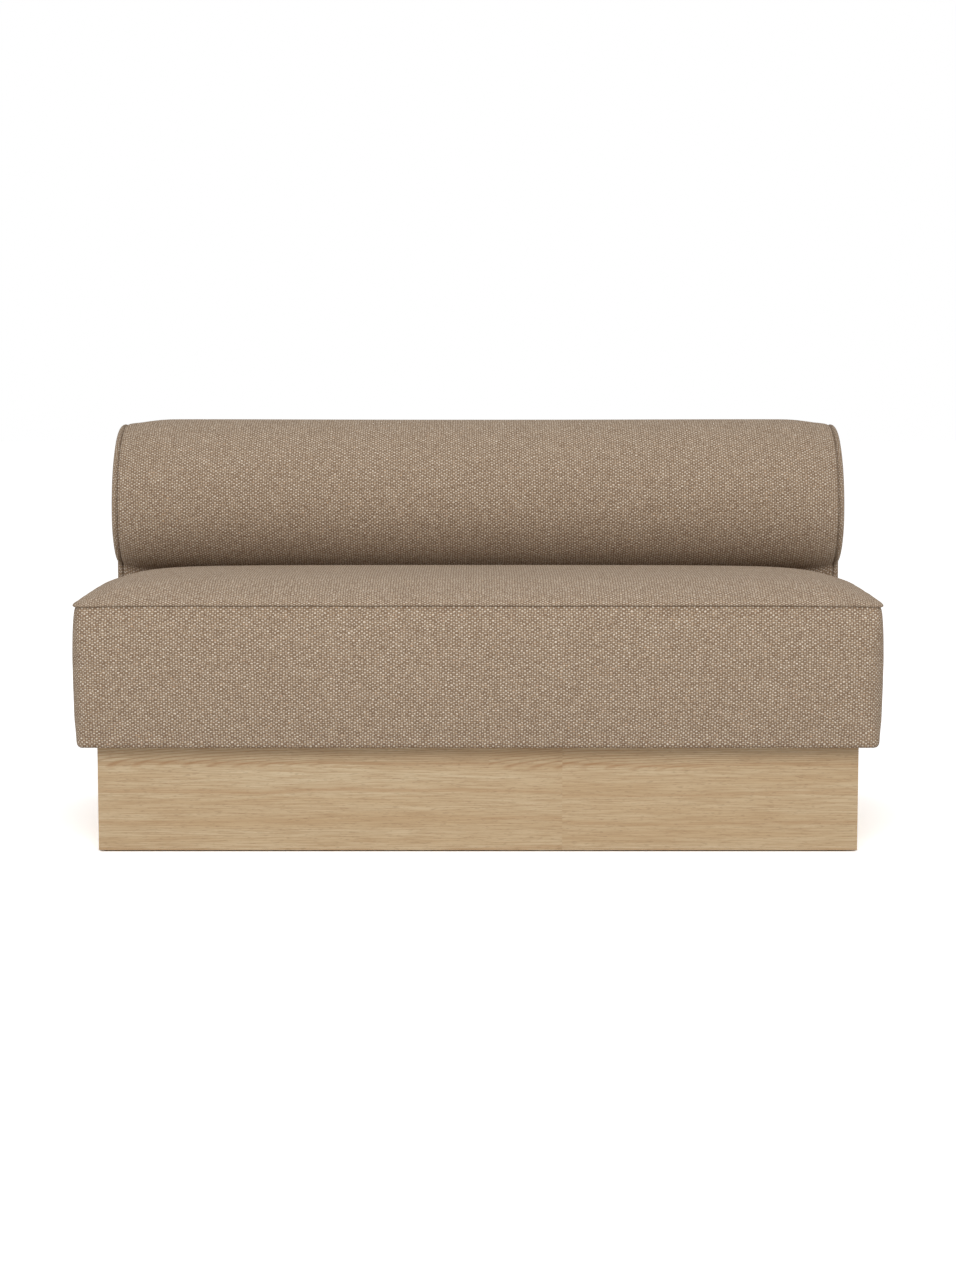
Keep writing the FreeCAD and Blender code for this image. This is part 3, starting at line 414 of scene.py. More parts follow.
# %% Cloth map of the seat
def map_seat_cloth(bm):
    """Writes lengths along the cloth into the weave map, and gives half the top panel's width."""
    weave = bm.loops.layers.uv.new("weave")
    half_cloth = lay(SEAT_HALF, over_side)
    for face in bm.faces:
        face.normal_update()
        for loop in face.loops:
            x, y, z = loop.vert.co
            if abs(face.normal.z) > 0.9:
                across = half_cloth - lay(SEAT_HALF - abs(x), over_side)
                loop[weave].uv = (math.copysign(across, x), lay(y - SEAT_FRONT, over_front))
            elif abs(face.normal.y) > 0.9:
                loop[weave].uv = (x, z)
            else:
                loop[weave].uv = (math.copysign(SEAT_HALF + y - SEAT_FRONT, x), z)
    return half_cloth


print("top panel cut", round(2 * map_seat_cloth(seat_bm), 3), "m wide")

# %% [markdown]
# Now the box becomes a cushion. Its upright corners are rounded, the boxing swells most about two
# thirds of the way up and turns under at its foot, and the top gets its lip and crown. At the ends by
# the back there is less filling to hold it up, so the top sinks there.

# %% Shape of the seat
# Radius of the upright corners, and of the edge where the boxing turns under.
CORNER = 0.016
BASE_ROUND = 0.008
# The boxing is widest at this share of its height, and drawn in by these lengths at foot and seam.
WIDEST = 0.7
DRAW_LOW = 0.0034
DRAW_HIGH = 0.0022
# The groove's height under the seam, and how far the cloth hangs below the frame's edge.
GROOVE = 0.0022
BASE_SAG = 0.0022
# On the underside, the distances from the edge over which the drawing in and the hanging die out.
UNDER_DRAW_REACH, UNDER_SAG_REACH = 0.1, 0.03
# How far the top sinks at its rear ends and at its front corners, and how far in that reaches.
REAR_SINK, REAR_SINK_REACH = 0.014, 0.15
CORNER_DIP, CORNER_DIP_REACH = 0.0032, 0.07
# How dark the painted shade at the seam is, where 1 is darkest.
SEAM_SHADE_PAINTED = 0.4


def past_corner(x, y):
    """How far a point is past the start of a rounded corner, along the width and the depth."""
    return abs(x) - (SEAT_HALF - CORNER), abs(y - seat_middle) - (seat_reach - CORNER)


def seat_edge(x, y):
    """How far inside the seat's rounded plan a point is, and which way is out."""
    over_x, over_y = past_corner(x, y)
    side = Vector((math.copysign(1, x), 0))
    end = Vector((0, math.copysign(1, y - seat_middle)))
    if over_x > 0 and over_y > 0:
        out = side * over_x + end * over_y
        return CORNER - out.length, out.normalized()
    if over_x > over_y:
        return CORNER - over_x, side
    return CORNER - over_y, end


def round_corner(x, y):
    """Moves a point of the square plan on to the plan with rounded corners."""
    over_x, over_y = past_corner(x, y)
    if over_x <= 0 or over_y <= 0:
        return x, y
    corner = Vector((over_x, over_y))
    corner *= max(corner) / corner.length
    return (math.copysign(SEAT_HALF - CORNER + corner.x, x),
            seat_middle + math.copysign(seat_reach - CORNER + corner.y, y - seat_middle))


def boxing_inset(z, low):
    """Boxing, in from the plan's edge; low is how far down into the rounded foot the point is."""
    share = (z - SEAT_BASE) / boxing_height
    if share < WIDEST:
        inset = DRAW_LOW * ((share - WIDEST) / WIDEST) ** 2
    else:
        inset = DRAW_HIGH * ((share - WIDEST) / (1 - WIDEST)) ** 2
    inset += (SEAM_INSET - DRAW_HIGH) * math.exp(-((SEAM_HEIGHT - z) / GROOVE) ** 2)
    return inset + (BASE_ROUND - math.sqrt(BASE_ROUND ** 2 - low ** 2))


def shape_seat(bm):
    """Bends the net into the cushion, and marks painted shade along the seam."""
    painted_seam_shade = bm.verts.layers.float.new("painted_seam_shade")
    for vertex in bm.verts:
        x, y, z = vertex.co
        on_top = z > SEAM_HEIGHT - 1e-6
        on_base = z < SEAT_BASE + 1e-6
        side, front, rear = SEAT_HALF - abs(x), y - SEAT_FRONT, SEAT_REAR - y
        x, y = round_corner(x, y)
        run, out = seat_edge(x, y)
        run = max(run, 0)
        if on_top:
            inset = panel_inset(run) - run
            z += panel_rise(run, side, front, rear)
            # Painted shade along the seam, which the cloth's material reads.
            vertex[painted_seam_shade] = SEAM_SHADE_PAINTED if run < 1e-4 else 0
        elif on_base:
            inset = (BASE_ROUND + DRAW_LOW) * max(1 - run / UNDER_DRAW_REACH, 0)
            z -= BASE_SAG * max(1 - run / UNDER_SAG_REACH, 0)
        else:
            low = max(BASE_ROUND - (z - SEAT_BASE), 0)
            inset = boxing_inset(z, low)
            z -= BASE_SAG * low / BASE_ROUND
        sink = REAR_SINK * (max(front, 0) / (2 * seat_reach)) ** 3 * math.exp(-side / REAR_SINK_REACH)
        sink += CORNER_DIP * math.exp(-(side + front) / CORNER_DIP_REACH)
        z -= sink * min((z - SEAT_BASE) / boxing_height, 1)
        # The rear stands flat against the back, so nothing is drawn in there.
        loose = 1 - max(out.y, 0)
        vertex.co = (x - out.x * inset * loose, y - out.y * inset * loose, z)


shape_seat(seat_bm)
print("seat shaped up to", round(max(v.co.z for v in seat_bm.verts), 4), "m")

# %% [markdown]
# A level of subdivision then rounds off what is left of the squares.

# %% Helpers for stuffed pieces
def stuffed_piece(name, bm, fill, *replaced):
    """Turns a bmesh into a smooth cloth piece that rides on the sofa and stands for CAD nodes."""
    bmesh.ops.recalc_face_normals(bm, faces=bm.faces)
    for face in bm.faces:
        face.smooth = True
    mesh = bpy.data.meshes.new(name)
    bm.to_mesh(mesh)
    bm.free()
    mesh.materials.append(cloth)
    piece = bpy.data.objects.new(name, mesh)
    scene.collection.objects.link(piece)
    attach(piece, "sofa")
    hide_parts(*replaced)
    return piece


def refine(piece):
    """One level of subdivision, the same in the viewport and the render."""
    modifier = piece.modifiers.new("refine", "SUBSURF")
    modifier.levels = 1
    modifier.render_levels = 1


seat = stuffed_piece(
    "seat_cushion", seat_bm, 0.9, "seat_cover_top", "seat_cover_boxing", "seat_foam_core",
    "seat_front_padding", "seat_left_padding", "seat_right_padding")
print("seat:", len(seat.data.polygons), "squares")

# %% [markdown]
# Cloth over a filling pulls tight between its seams. Blender's Cloth finds that shape: the cover is
# blown up from inside for 20 frames, while the points that are sewn or stapled stay. Left alone the
# simulation would swell on, so each point's move is capped softly, by a curve that flattens out.

# %% Swelling
PRESSURE = 4
LAST_FRAME = 20
# About the furthest that a point of the seat may move.
SEAT_CAP = 0.005


def swell(piece, held, cap):
    """Blows a piece up, held still where held(point) is true, by at most about cap."""
    mesh = piece.data
    sewn = piece.vertex_groups.new(name="sewn")
    sewn.add([v.index for v in mesh.vertices if held(v.co)], 1, "REPLACE")
    modifier = piece.modifiers.new("cloth", "CLOTH")
    settings = modifier.settings
    settings.vertex_group_mass = "sewn"
    settings.use_pressure = True
    settings.uniform_pressure_force = PRESSURE
    settings.effector_weights.gravity = 0
    for step in range(1, LAST_FRAME + 1):
        scene.frame_set(step)
    swollen = piece.evaluated_get(bpy.context.evaluated_depsgraph_get()).data
    places = [v.co.copy() for v in swollen.vertices]
    piece.modifiers.remove(modifier)
    piece.vertex_groups.remove(sewn)
    furthest = 0
    for vertex, place in zip(mesh.vertices, places):
        move = place - vertex.co
        furthest = max(furthest, move.length)
        if move.length > 0:
            vertex.co += move.normalized() * cap * math.tanh(move.length / cap)
    scene.frame_set(1)
    print(piece.name, "swelled by up to", round(furthest * 1000, 1), "mm before the cap")


def seat_held(at):
    """The seat's cover is held along its seam, at its stapled foot and against the back."""
    return abs(at.z - SEAM_HEIGHT) < 0.004 or at.z < SEAT_BASE + 0.02 or at.y > SEAT_REAR - 0.01


swell(seat, seat_held, SEAT_CAP)
print("seat's front at", round(min(v.co.y for v in seat.data.vertices), 4), "m")

# %% [markdown]
# A sewn edge is never quite straight: the stitches gather the cloth a little. Two sizes of noise lift
# and lower the points near the seam by up to a millimetre or so.

# %% Puckers along the seam
# The puckers' height, how far above the seam they are strongest, and how far from there they reach.
PUCKER = 0.0011
PUCKER_ABOVE, PUCKER_REACH = 0.004, 0.012
# Puckers come in two lengths, about 45 mm and 17 mm, the shorter ones lower.
PUCKERS = ((22, 3.1, 1), (60, 7.7, 0.6))


def pucker(piece):
    """Small ups and downs of the sewn edge, over the seam's own length."""
    for vertex in piece.data.vertices:
        x, y, z = vertex.co
        near = math.exp(-((z - SEAM_HEIGHT - PUCKER_ABOVE) / PUCKER_REACH) ** 2)
        wave = sum(share * noise.noise(Vector((x * scale, y * scale, layer)))
                   for scale, layer, share in PUCKERS)
        vertex.co.z += PUCKER * near * wave


pucker(seat)
refine(seat)
print("seat's top at", round(max(v.co.z for v in seat.data.vertices), 4), "m")

# %% [markdown]
# The back's cover is one length of cloth wrapped round the whole back: up the neck behind the seat,
# out under the bolster, over its top and down the rear. Seen from the end it is a row of straight
# stretches and arcs, so a flat grid can be bent round that profile. Towards its end seams the
# stuffing pulls the cloth in, so the profile can be asked for at a smaller size too.

# %% Profile of the back
NECK_FRONT = 0.235
BACK_REAR = 0.375
BACK_TOP = 0.79
# The bolster is two arcs round centres at the same height: one under it, one over it.
BOLSTER_HEIGHT = 0.603
UNDER_CENTRE, UNDER_RADIUS = 0.263, 0.122
OVER_CENTRE, OVER_RADIUS = 0.328, 0.187
REAR_BEND, LEAST_BEND = 0.040, 0.004
# Squares along each stretch: neck, under the bolster, over it, flat top, rear corner, rear, underside.
STRETCHES = (24, 16, 24, 2, 6, 44, 12)


def arc_point(centre, radius, first, last, share):
    """Point of an arc between two angles in degrees, the given share of the way along."""
    angle = math.radians(first + (last - first) * share)
    return Vector((centre[0] + radius * math.cos(angle), centre[1] + radius * math.sin(angle)))


def back_point(step, draw, shrink):
    """Point (y, z) of the profile; draw pulls in the bolster only, shrink brings in every side."""
    loss = draw + shrink
    neck = NECK_FRONT + shrink
    rear = BACK_REAR - shrink
    base = SEAT_BASE + shrink
    top = BACK_TOP - loss
    under = UNDER_RADIUS - loss
    over = OVER_RADIUS - loss
    bend = max(REAR_BEND - loss, LEAST_BEND)
    # The arc under the bolster starts where it meets the neck, in the crease.
    crease = math.degrees(math.acos(max(min((neck - UNDER_CENTRE) / under, 1), -1)))
    crease_z = BOLSTER_HEIGHT - under * math.sin(math.radians(crease))
    stretch = 0
    while step > STRETCHES[stretch]:
        step -= STRETCHES[stretch]
        stretch += 1
    share = step / STRETCHES[stretch]
    if stretch == 0:
        return Vector((neck, base + (crease_z - base) * share))
    if stretch == 1:
        return arc_point((UNDER_CENTRE, BOLSTER_HEIGHT), under, 360 - crease, 180, share)
    if stretch == 2:
        return arc_point((OVER_CENTRE, BOLSTER_HEIGHT), over, 180, 90, share)
    if stretch == 3:
        return Vector((OVER_CENTRE + (rear - bend - OVER_CENTRE) * share, top))
    if stretch == 4:
        return arc_point((rear - bend, top - bend), bend, 90, 0, share)
    if stretch == 5:
        return Vector((rear, top - bend + (base - top + bend) * share))
    return Vector((rear + (neck - rear) * share, base))


profile_steps = sum(STRETCHES)
cloth_length = [0]
for step in range(1, profile_steps + 1):
    stride = back_point(step, 0, 0) - back_point(step - 1, 0, 0)
    cloth_length.append(cloth_length[-1] + stride.length)
print("cloth round the back:", round(cloth_length[-1], 3), "m")

# %% [markdown]
# On the real sofa the wrap is sewn to an end panel on each side, and the seam pulls it in: the bolster
# tapers over its last 90 mm and dips sharply at the seam itself. Both follow from the distance to
# the end, so one rule places every point of the grid. The same simulation then fills the front.

# %% Back wrap
WRAP_HALF = 0.734
WRAP_SQUARES = 118
WRAP_CAP = 0.004
# The taper towards each end, and the narrow dip at the seam: how deep and how long each is.
END_DRAW, END_TAPER = 0.0105, 0.092
END_DIP, DIP_LENGTH = 0.0026, 0.0022


def shape_wrap():
    """The wrap as a grid bent round the profile, its weave mapped, with painted shade at its end seams.
    """
    bm = bmesh.new()
    bmesh.ops.create_grid(bm, x_segments=WRAP_SQUARES, y_segments=profile_steps, size=1)
    weave = bm.loops.layers.uv.new("weave")
    painted_seam_shade = bm.verts.layers.float.new("painted_seam_shade")
    places = {}
    for vertex in bm.verts:
        step = round((vertex.co.y + 1) / 2 * profile_steps)
        far = crowd(WRAP_HALF * (1 - abs(vertex.co.x)), WRAP_HALF)
        places[vertex] = (step, far, math.copysign(WRAP_HALF - far, vertex.co.x))
    for face in bm.faces:
        for loop in face.loops:
            step, far, x = places[loop.vert]
            loop[weave].uv = (x, cloth_length[step])
    for vertex, (step, far, x) in places.items():
        draw = END_DRAW * max(1 - far / END_TAPER, 0) ** 2.4
        dip = END_DIP * math.exp(-(far / DIP_LENGTH) ** 2)
        y, z = back_point(step, draw, dip)
        vertex.co = (x, y, z)
        # Painted shade at each end seam.
        vertex[painted_seam_shade] = 1 if far < 1e-4 else 0
    bmesh.ops.remove_doubles(bm, verts=bm.verts, dist=1e-5)
    return bm


def wrap_held(at):
    """The wrap is held below the bolster, along the flat rear and at its end seams."""
    return at.z < 0.5 or at.y > 0.37 or abs(at.x) > WRAP_HALF - 0.004


wrap = stuffed_piece("back_wrap", shape_wrap(), 0.9, "back_cover_wrap", "back_foam")
swell(wrap, wrap_held, WRAP_CAP)
refine(wrap)
print("wrap:", len(wrap.data.polygons), "squares")

# %% [markdown]
# Each end of the back is closed by a flat panel cut to the profile, the gusset. Its rim rolls out
# beyond the seam, because the wadding inside pushes it. Rings of the profile, each brought in a
# little more, make the roll; the flat middle is filled last. The weave is mapped as the panel was cut,
# before its rim rolled.

# %% End gussets
# Swell outwards and how far in from the widest line, ring by ring, in millimetres.
GUSSET_RINGS = (
    (0, 2.6), (0.7, 1.7), (1.8, 0.8), (3.2, 0.2), (4.8, 0), (6.4, 0.4), (8.0, 1.5), (9.6, 3.0),
    (10.9, 4.8), (11.9, 7), (12.7, 10.5), (13.2, 15), (13.4, 21), (13.4, 30), (13.4, 38))
# The painted shade at the seam fades by this share from each ring to the next.
PAINTED_SHADE_FADE = 0.17


def shape_gusset(side):
    """One end panel; side is -1 for the left and 1 for the right."""
    last_ring = len(GUSSET_RINGS) - 1
    bm = bmesh.new()
    bmesh.ops.create_grid(bm, x_segments=last_ring, y_segments=profile_steps, size=1)
    weave = bm.loops.layers.uv.new("weave")
    painted_seam_shade = bm.verts.layers.float.new("painted_seam_shade")
    flat = [GUSSET_RINGS[-1][1]]
    for far, near in zip(GUSSET_RINGS[::-1], GUSSET_RINGS[-2::-1]):
        flat.insert(0, flat[0] - math.dist(far, near))
    cut = {}
    for vertex in bm.verts:
        ring = round((vertex.co.x + 1) / 2 * last_ring)
        step = round((vertex.co.y + 1) / 2 * profile_steps)
        out, inset = GUSSET_RINGS[ring]
        y, z = back_point(step, END_DRAW, inset / 1000)
        vertex.co = (side * (WRAP_HALF + out / 1000), y, z)
        # Painted shade on the rim, darkest at the seam and fading ring by ring.
        vertex[painted_seam_shade] = max(1 - ring * PAINTED_SHADE_FADE, 0)
        cut[vertex.index] = back_point(step, END_DRAW, flat[ring] / 1000)
    for face in bm.faces:
        for loop in face.loops:
            loop[weave].uv = cut[loop.vert.index]
    bmesh.ops.remove_doubles(bm, verts=bm.verts, dist=1e-5)
    inner = [e for e in bm.edges if e.is_boundary and abs(e.verts[0].co.x) > WRAP_HALF + 0.011]
    middle = bmesh.ops.contextual_create(bm, geom=inner)["faces"]
    middle = bmesh.ops.triangulate(bm, faces=middle)["faces"]
    for face in middle:
        for loop in face.loops:
            loop[weave].uv = loop.vert.co.yz
    return bm


left_gusset = stuffed_piece(
    "back_left_gusset", shape_gusset(-1), 0.9, "back_cover_left_gusset", "back_end_wadding")
right_gusset = stuffed_piece(
    "back_right_gusset", shape_gusset(1), 0.9, "back_cover_right_gusset")
print("gussets:", len(left_gusset.data.polygons), "and", len(right_gusset.data.polygons), "faces")

# %% [markdown]
# The plinth is veneered with plain-sawn oak, its grain level all round, under a thin satin lacquer.
# Oak shows broad bands of tone, fine fibres and short dark pores. Each is a noise stretched along the
# grain. The veneer comes in leaves, and where a new one starts the streaks jump.

# %% Streaks of the oak
# The second leaf of veneer starts this far right of the middle, and its streaks are shifted so far.
LEAF_JOINT = 0.158
LEAF_SHIFT = (0.43, 0, 0)
# Stretch along and across the grain, and detail: broad tone, 40 mm high and about a metre long; fibres
# 2 mm high; pores 2 mm by 15 mm, drawn wider than the real 0.3 mm so that they show; and the slow
# straying of the growth rings.
OAK_NOISES = (((0.9, 24, 24), 3), ((13, 600, 600), 3), ((75, 640, 640), 1), ((2.2, 16, 16), 1))


def oak_streaks(tree, grain, along):
    """Broad tone, fibre, pores and the rings' straying, with a new leaf of veneer past the joint."""
    leaf = add(tree, "Math", {"operation": "GREATER_THAN"}, {0: along, 1: LEAF_JOINT}).outputs[0]
    jump = add(tree, "CombineXYZ", inputs={"X": leaf, "Y": 0.0, "Z": 0.0}).outputs[0]
    jump = add(tree, "VectorMath", {"operation": "MULTIPLY_ADD"}, {
        0: jump, 1: LEAF_SHIFT, 2: grain}).outputs[0]
    streaks = []
    for stretch, detail in OAK_NOISES:
        spread = add(tree, "VectorMath", {"operation": "MULTIPLY"}, {0: jump, 1: stretch}).outputs[0]
        streaks.append(add(tree, "TexNoise", inputs={
            "Vector": spread, "Scale": 1, "Detail": detail, "Roughness": 0.6}).outputs["Fac"])
    return streaks


print("oak:", len(OAK_NOISES), "noises along the grain")

# %% [markdown]
# Where the knife met the growth rings at a slant, oak shows an arched figure. In the upper part of this
# plinth each ring starts as a hook and runs on level to the right. That is the distance from a core
# which leaves the panel to the left. Lower down the knife met the rings only now and then, as thin,
# nearly level lines.

# %% Figure of the oak
RING_PITCH = 0.004
LINE_PITCH = 0.054
FIGURE_HEIGHT = 0.173
# The core rises to the face by this slope, and by the middle would be this far past it.
CORE_SLOPE, CORE_START = 0.085, 0.0176
# Past this place the hooks start over, from a second core so far to the right.
SECOND_FIGURE, FIGURE_STEP = 0.02, 0.65
# How far the rings stray up and down, and the phase that puts the level lines where they are.
STRAYING = 0.03
LINE_PHASE = -8.5


def oak_figure(tree, along, height, stray):
    """How strongly the hooked rings show at a point, and how strongly the level lines do."""
    second = add(tree, "Math", {"operation": "GREATER_THAN"}, {0: along, 1: SECOND_FIGURE}).outputs[0]
    core = add(tree, "Math", {"operation": "MULTIPLY_ADD"}, {
        0: second, 1: -FIGURE_STEP, 2: along}).outputs[0]
    core = add(tree, "Math", {"operation": "MULTIPLY_ADD"}, {
        0: core, 1: CORE_SLOPE, 2: CORE_START}).outputs[0]
    core = add(tree, "Math", {"operation": "MINIMUM"}, {0: core, 1: 0}).outputs[0]
    lift = add(tree, "Math", {"operation": "MULTIPLY_ADD"}, {
        0: stray, 1: STRAYING, 2: height}).outputs[0]
    above = add(tree, "Math", {"operation": "SUBTRACT"}, {0: lift, 1: FIGURE_HEIGHT}).outputs[0]
    ring = add(tree, "CombineXYZ", inputs={"X": core, "Y": above, "Z": 0.0}).outputs[0]
    ring = add(tree, "VectorMath", {"operation": "LENGTH"}, {0: ring}).outputs["Value"]
    ring = add(tree, "Math", {"operation": "MULTIPLY"}, {
        0: ring, 1: 2 * math.pi / RING_PITCH}).outputs[0]
    ring = add(tree, "Math", {"operation": "SINE"}, {0: ring}).outputs[0]
    upper = add(tree, "MapRange", inputs={
        "Value": above, "From Min": -0.004, "From Max": 0.006}).outputs[0]
    hooks = add(tree, "MapRange", inputs={"Value": ring, "From Min": 0.1, "To Max": 0.5}).outputs[0]
    hooks = add(tree, "Math", {"operation": "MULTIPLY"}, {0: hooks, 1: upper}).outputs[0]
    lines = add(tree, "Math", {"operation": "MULTIPLY_ADD"}, {
        0: lift, 1: 2 * math.pi / LINE_PITCH, 2: LINE_PHASE}).outputs[0]
    lines = add(tree, "Math", {"operation": "COSINE"}, {0: lines}).outputs[0]
    lines = add(tree, "MapRange", inputs={"Value": lines, "From Min": 0.85, "To Max": 0.6}).outputs[0]
    return hooks, lines


print("oak: rings", RING_PITCH, "m apart in the figure,", LINE_PITCH, "m below it")

# %% [markdown]
# The veneer's colour starts from the broad tone, and the fibres, lines, hooks and pores are laid over
# it in turn, each in a browner shade. The end panels use the same veneer with its grain turned to run
# from front to back, which a Mapping node does.

# %% Oak veneer
def oak_veneer(name, turn):
    """turn lays the grain along the panel: 0 along X, a quarter turn along Y."""
    # Satin lacquer over open grain: soft gloss, with the pores still dark and slightly sunk.
    material, tree, shader = new_material(name, Roughness=0.5, Specular_IOR_Level=0.35)
    place = add(tree, "TexCoord").outputs["Object"]
    grain = add(tree, "Mapping", inputs={"Vector": place, "Rotation": (0, 0, turn)}).outputs[0]
    parts = add(tree, "SeparateXYZ", inputs={0: grain})
    bands, fibre, pores, stray = oak_streaks(tree, grain, parts.outputs["X"])
    hooks, lines = oak_figure(tree, parts.outputs["X"], parts.outputs["Z"], stray)
    share = add(tree, "MapRange", inputs={"Value": bands, "From Min": 0.3, "From Max": 0.7}).outputs[0]
    # The level lines fade in and out with the broad tone.
    lines = add(tree, "Math", {"operation": "MULTIPLY"}, {0: lines, 1: share}).outputs[0]
    streak = add(tree, "MapRange", inputs={
        "Value": fibre, "From Min": 0.42, "From Max": 0.6, "To Max": 0.7}).outputs[0]
    pit = add(tree, "MapRange", inputs={
        "Value": pores, "From Min": 0.6, "From Max": 0.68, "To Max": 0.3}).outputs[0]
    colour = add(tree, "Mix", COLOURS, {
        AMOUNT: share, FIRST: tone("#BA9E79"), SECOND: tone("#CDBA9A")}).outputs[MIXED]
    for amount, shade in ((streak, "#AA8C68"), (lines, "#A37A50"), (hooks, "#996E44"), (pit, "#7E6040")):
        colour = add(tree, "Mix", COLOURS, {
            AMOUNT: amount, FIRST: colour, SECOND: tone(shade)}).outputs[MIXED]
    tree.links.new(colour, shader.inputs["Base Color"])
    bump = add(tree, "Bump", {"invert": True}, {"Height": pit, "Strength": 0.3, "Distance": 0.0003})
    tree.links.new(bump.outputs["Normal"], shader.inputs["Normal"])
    return material


def dress(material, *names):
    """Gives CAD nodes their finish in place of the plain one they came with."""
    for name in names:
        nodes[name].data.materials.clear()
        nodes[name].data.materials.append(material)


dress(oak_veneer("oak_veneer_satin_front", 0), "plinth_front_panel", "plinth_back_panel")
dress(oak_veneer("oak_veneer_satin_side", math.pi / 2), "plinth_left_panel", "plinth_right_panel")
print("plinth panels veneered")

# %% [markdown]
# Inside the plinth and under the seat the sofa is plain joinery: planed beech rails, blocks and
# cleats, and birch plywood boards. Both show straight grain without lacquer. Beech also has short
# darker flecks, a few millimetres long, which tell it from other pale woods.

# %% Beech and plywood
# Grain 5 mm across and 250 mm long; flecks 6 mm long and 1.4 mm high.
TIMBER_GRAIN = (4, 190, 190)
TIMBER_FLECKS = (160, 700, 700)


def plain_timber(name, pale, dark, fleck_share):
    """Unfinished timber: long grain along X, and short flecks in the share given."""
    # Bare wood from the plane or the sander: dry and nearly matt, its grain just to be felt.
    material, tree, shader = new_material(name, Roughness=0.7, Specular_IOR_Level=0.25)
    place = add(tree, "TexCoord").outputs["Object"]
    grain = add(tree, "VectorMath", {"operation": "MULTIPLY"}, {0: place, 1: TIMBER_GRAIN}).outputs[0]
    grain = add(tree, "TexNoise", inputs={"Vector": grain, "Scale": 1, "Detail": 4}).outputs["Fac"]
    share = add(tree, "MapRange", inputs={"Value": grain, "From Min": 0.3, "From Max": 0.7}).outputs[0]
    flecks = add(tree, "VectorMath", {"operation": "MULTIPLY"}, {0: place, 1: TIMBER_FLECKS}).outputs[0]
    flecks = add(tree, "TexNoise", inputs={"Vector": flecks, "Scale": 1, "Detail": 1}).outputs["Fac"]
    flecks = add(tree, "MapRange", inputs={
        "Value": flecks, "From Min": 0.62, "From Max": 0.72, "To Max": fleck_share}).outputs[0]
    colour = add(tree, "Mix", COLOURS, {
        AMOUNT: share, FIRST: tone(pale), SECOND: tone(dark)}).outputs[MIXED]
    colour = add(tree, "Mix", COLOURS, {
        AMOUNT: flecks, FIRST: colour, SECOND: tone("#7A5434")}).outputs[MIXED]
    tree.links.new(colour, shader.inputs["Base Color"])
    bump = add(tree, "Bump", inputs={"Height": grain, "Strength": 0.25, "Distance": 0.0004})
    tree.links.new(bump.outputs["Normal"], shader.inputs["Normal"])
    return material


beech = plain_timber("beech_planed", "#CDA578", "#B98D60", 0.45)
birch_plywood = plain_timber("birch_plywood_sanded", "#D8BD94", "#C6A579", 0.1)
dress(beech, "plinth_corner_blocks", "plinth_front_cleat", "plinth_back_cleat", "plinth_centre_brace",
      "seat_front_rail", "seat_back_rail", "seat_left_rail", "seat_right_rail", "seat_cross_rails",
      "seat_corner_blocks")
dress(birch_plywood, "back_neck_board", "back_rear_board", "back_bolster_board", "back_top_rail",
      "back_bottom_rail", "back_ribs")
print("timber dressed")

# %% [markdown]
# Screws, bolts and the feet's threaded studs are zinc plated, which leaves a cool grey skin with a
# cloudy spangle. The springs and their clips are bare spring steel, darker and a little mottled. One
# function serves both, because in each the colour and the gloss change together.

# %% Metal
CORNERS = ("front_left", "front_right", "back_left", "back_right")


def plated_or_drawn(name, bright, dull, spacing, roughness):
    """Metal whose brightness and gloss change over the given spacing."""
    # Plating and drawing leave steel half bright, with duller clouds that break up its reflections.
    material, tree, shader = new_material(name, Metallic=1.0)
    place = add(tree, "TexCoord").outputs["Object"]
    cloud = add(tree, "TexNoise", inputs={
        "Vector": place, "Scale": 1 / spacing, "Detail": 3}).outputs["Fac"]
    share = add(tree, "MapRange", inputs={"Value": cloud, "From Min": 0.3, "From Max": 0.7}).outputs[0]
    colour = add(tree, "Mix", COLOURS, {
        AMOUNT: share, FIRST: tone(bright), SECOND: tone(dull)}).outputs[MIXED]
    tree.links.new(colour, shader.inputs["Base Color"])
    gloss = add(tree, "MapRange", inputs={
        "Value": cloud, "To Min": roughness - 0.08, "To Max": roughness + 0.12}).outputs[0]
    tree.links.new(gloss, shader.inputs["Roughness"])
    return material


zinc = plated_or_drawn("steel_zinc_plated", "#C9CCCF", "#A9ADB2", 0.004, 0.35)
spring_wire = plated_or_drawn("spring_steel_drawn", "#6E6F72", "#55565A", 0.002, 0.4)
dress(zinc, "corner_block_screws", "cleat_screws", "leveller_inserts", "upholstery_mount_screws",
      "seat_frame_screws", "back_frame_screws", "back_bolts", "back_bolt_washers", "back_tee_nuts",
      *(f"leveller_stud_{corner}" for corner in CORNERS))
dress(spring_wire, "seat_springs", "spring_clips")
print("metal dressed")

# %% [markdown]
# The glides under the feet are moulded nylon. A mould is blasted with fine grit, and the plastic takes
# that grain, so a small, even noise moves both the colour and the surface a little.

# %% Nylon
MOULD_GRAIN = 0.0008

# Moulded nylon: black and half matt, with an even grain that softens its highlights.
nylon, nylon_tree, nylon_shader = new_material("nylon_moulded_black", Roughness=0.5, IOR=1.53)
place = add(nylon_tree, "TexCoord").outputs["Object"]
mould = add(nylon_tree, "TexNoise", inputs={
    "Vector": place, "Scale": 1 / MOULD_GRAIN, "Detail": 2}).outputs["Fac"]
black = add(nylon_tree, "Mix", COLOURS, {
    AMOUNT: mould, FIRST: tone("#1B1B1C"), SECOND: tone("#29292B")}).outputs[MIXED]
nylon_tree.links.new(black, nylon_shader.inputs["Base Color"])
bump = add(nylon_tree, "Bump", inputs={"Height": mould, "Strength": 0.2, "Distance": 0.0001})
nylon_tree.links.new(bump.outputs["Normal"], nylon_shader.inputs["Normal"])
dress(nylon, *(f"leveller_pad_{corner}" for corner in CORNERS))
print("glides dressed")

# %% [markdown]
# The felt on the springs and the dust cover under the seat are both bonded fibre: loose fibres pressed
# together, and held by rows of small bonded spots. Noise makes the fibres, and two sine waves
# multiplied make the spots, as they made the nubs of the cloth.

# %% Bonded fibre
FIBRE_CLUMP = 0.003


